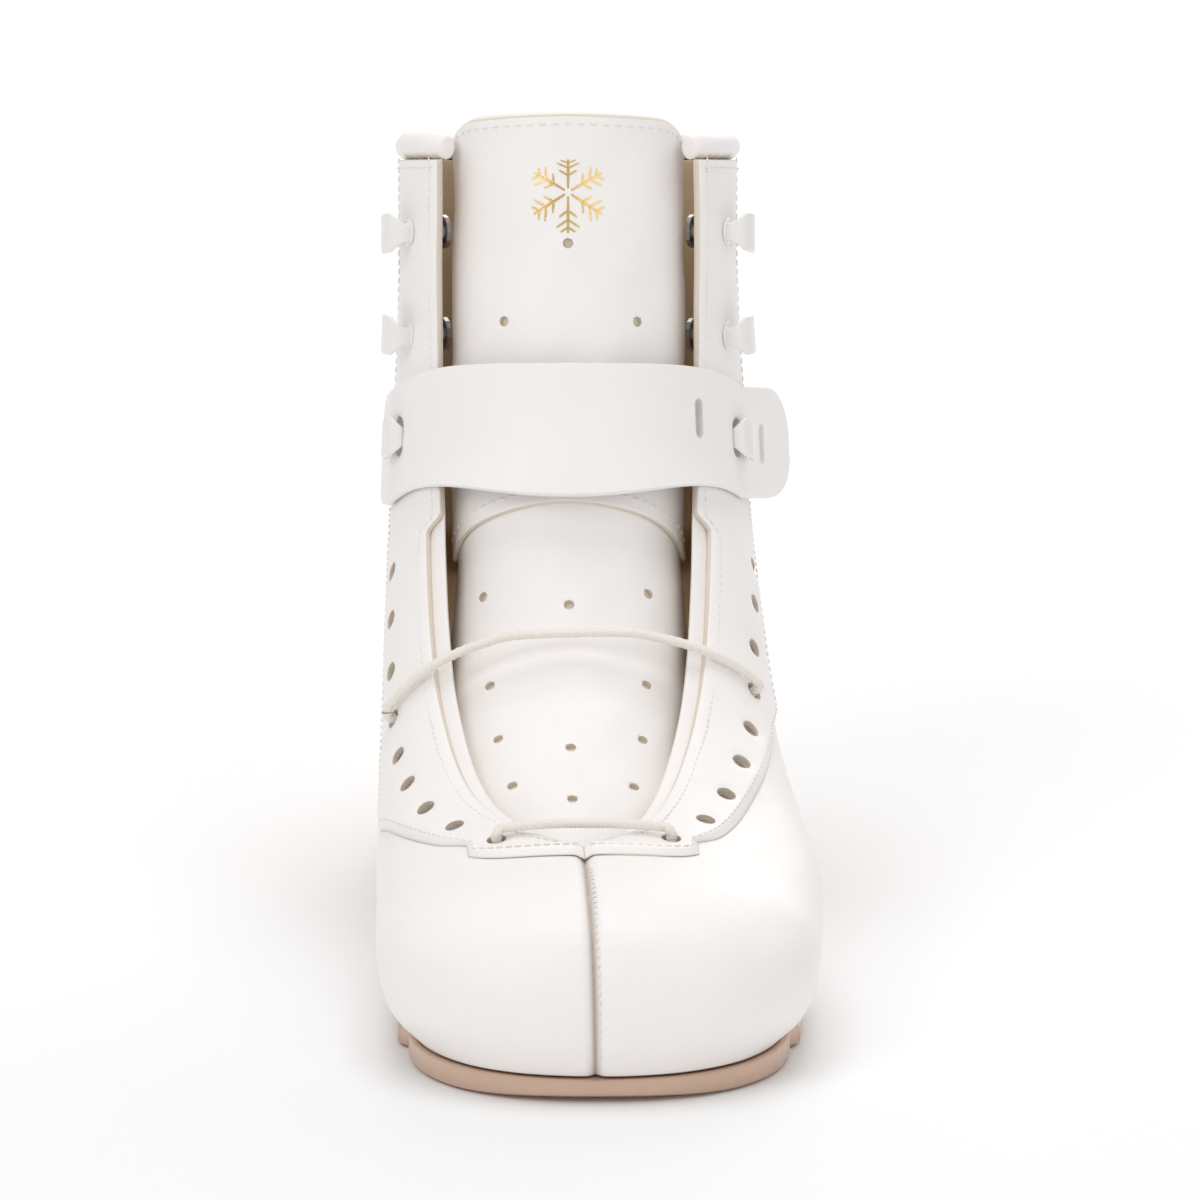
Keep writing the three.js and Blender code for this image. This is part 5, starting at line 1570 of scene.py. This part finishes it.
def seat(back):
    return np.interp(back, SEAT_PATH[0], SEAT_PATH[2])


def sole_bottom(back):
    spring = np.maximum(1 - back / TOE_SPRING_RUN, 0) ** 2 * TOE_SPRING
    rise = smooth((back - TABLE[AT["waist"], BASE_Y] + 10) / 25)
    return spring + rise * np.maximum(seat(back) - 0.6 - SOLE_THICKNESS, 0)


def sole_rings(start, end, rings, count=150):
    """Rings round the sole at several heights. Each ring is (outset, height function)."""
    layers = []
    for outset, height in rings:
        paths = {side: sole_path(side, outset) for side in (MEDIAL, LATERAL)}
        low = max(start, paths[MEDIAL][0][0], paths[LATERAL][0][0])
        high = min(end, paths[MEDIAL][0][-1], paths[LATERAL][0][-1])
        back = low + (high - low) * (0.5 - 0.5 * np.cos(np.pi * np.linspace(0.004, 0.996, count)))
        sides = [np.stack([np.interp(back, paths[side][0], paths[side][1]), back, height(back)], -1)
                 for side in (MEDIAL, LATERAL)]
        layers.append(np.concatenate([sides[0], sides[1][::-1]]))
    return (np.array(layers) + SHIFT) * MM


def ring_body(name, layers, materials):
    count, size = layers.shape[:2]
    index = np.arange(count * size).reshape(count, size)
    after = np.roll(index, -1, axis=1)
    faces = np.stack([index[:-1], after[:-1], after[1:], index[1:]], -1).reshape(-1, 4).tolist()
    half = size // 2
    for layer, turned_over in ((0, True), (count - 1, False)):
        for k in range(half - 1):
            quad = [int(index[layer, i]) for i in (k, k + 1, size - 2 - k, size - 1 - k)]
            faces.append(quad[::-1] if turned_over else quad)
    mesh = bpy.data.meshes.new(name)
    mesh.from_pydata(layers.reshape(-1, 3).tolist(), [], faces)
    for material in materials:
        mesh.materials.append(material)
    piece = bpy.data.objects.new(name, mesh)
    scene.collection.objects.link(piece)
    mesh.shade_smooth()
    point_out(piece)
    mesh.set_sharp_from_angle(angle=math.radians(38))
    return piece


def lifted(function, amount):
    return lambda back: function(back) + amount


def sole_top(back):
    return seat(back) - 0.6


def make_sole():
    rings = [(SOLE_EDGE - 1.4, lifted(sole_top, 0.0)), (SOLE_EDGE - 0.45, lifted(sole_top, -0.02)),
             (SOLE_EDGE - 0.1, lifted(sole_top, -0.25)), (SOLE_EDGE, lifted(sole_top, -0.7)),
             (SOLE_EDGE, lifted(sole_bottom, 0.9)), (SOLE_EDGE - 0.2, lifted(sole_bottom, 0.3)),
             (SOLE_EDGE - 0.8, lifted(sole_bottom, 0.0))]
    sole = ring_body("bronze_edged_sole", sole_rings(0, BOOT_LENGTH, rings), (BRONZE,))
    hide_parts("outsole")
    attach(sole, "boot")


def level(height):
    return lambda back: np.full(np.shape(back), height)


def make_heel():
    top = lifted(sole_bottom, -0.3)
    for name, node, low, high in (("stacked_heel", "heel_block", level(HEEL_LIFT + 0.3), top),
                                  ("heel_top_piece", "heel_lift", level(0.0), level(HEEL_LIFT))):
        rings = [(-0.9, lifted(high, 0.0)), (-0.5, lifted(high, -0.3)),
                 (-0.5, lifted(low, 0.4)), (-0.9, lifted(low, 0.0))]
        material = BRONZE if node == "heel_block" else HEEL_RUBBER
        heel = ring_body(name, sole_rings(HEEL_BREAST, BOOT_LENGTH, rings, 90), (material,))
        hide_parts(node)
        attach(heel, "boot")


HEEL_RUBBER = finish("heel rubber", (0.11, 0.10, 0.095), (0.07, 0.065, 0.06), 0.7, 0.5, GRAIN, 900)
make_sole()
make_heel()

# %% [markdown]
# Two short ties of woven cord hold the facings together in the shop, in place of laces. Each starts at a
# knot inside, comes up through a lace hole, crosses the tongue and goes down the other side.

# %% Ties
TIE_RADIUS, TIE_SIDES = 1.25, 12
TIE_RISER = 1.4 + 0.6 + 1.8
TIE_STEPS = 220
KNOT = [(0, -2.6), (1.5, -2.3), (2.5, -1.2), (2.3, -0.35), (2.7, 0.4), (2.3, 1.5), (1.4, 2.3), (0, 2.6)]


def tie_half(side, hole):
    _, u, angle = LACES[side][hole]
    at, out, _, around = frame_at(side, u, angle)
    middle = (LACES[MEDIAL][hole][1] + LACES[LATERAL][hole][1]) / 2
    start = float(angle_further(side, u, angle, -2.2))
    inside = [at + out * h * MM for h in (-8.7, -3.0, 1.6)]
    inside.append(at + (out * (TIE_RISER - 0.8) - around * 0.5) * MM)
    over = [upper_point(side, middle + (u - middle) * f, start * f, TIE_RISER - 0.25)
            for f in (1, 0.85, 0.7, 0.54, 0.38, 0.2)]
    return inside + over


def tie_tube(name, path):
    tangent = unit(np.gradient(path, axis=0))
    up = np.array([0.0, 0.0, 1.0])
    side_way = unit(np.cross(tangent, up))
    rise = np.cross(side_way, tangent)
    turns = np.linspace(0, 2 * np.pi, TIE_SIDES, endpoint=False)
    run = np.linspace(0, 1, len(path))[:, None]
    twist = 2 * turns[None, :]
    weave = 0.06 * np.sin(run * 420 + twist) + 0.04 * np.sin(run * 420 - twist)
    radius = TIE_RADIUS * (1 + weave)
    rings = path[:, None] + (side_way[:, None] * np.cos(turns)[None, :, None]
                             + rise[:, None] * np.sin(turns)[None, :, None] * 0.86) * radius[..., None] * MM
    return tube_mesh(name, rings, (CORD,))


def make_tie(name, node, hole):
    points = np.array(tie_half(LATERAL, hole) + tie_half(MEDIAL, hole)[::-1])
    path = smooth_path(points, TIE_STEPS)
    cord = tie_tube("cord", path)
    knots = []
    for at, way in ((points[0], unit(points[0] - points[1])), (points[-1], unit(points[-1] - points[-2]))):
        knots.append(turned("knot", at, way, KNOT, 16, CORD))
    tie = joined(name, [cord, *knots])
    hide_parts(node)
    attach(tie, "boot")


make_tie("instep_cord", "instep_tie", 5)
make_tie("toe_cord", "toe_tie", 0)

# %% [markdown]
# The pieces that stay as the CAD made them only need their finishes: the boards, the shank, the washers,
# and the stiffeners and pads between the layers.

# %% Finishes for the pieces that stay
STAYING = {"insole_board": BOARD, "heel_counter": BOARD, "footbed": TAN_LINING, "toe_puff": FELT,
           "shank": STEEL,
           "ankle_padding_medial": FELT, "ankle_padding_lateral": FELT}
for one_side in (MEDIAL, LATERAL):
    for one_level in HOOK_LEVELS:
        STAYING[f"hook_washer_{one_side}_{one_level}"] = STEEL
for node, material in STAYING.items():
    for one_slot in bpy.data.objects[node].material_slots:
        one_slot.material = material
print("finished", len(STAYING), "pieces of the frame")
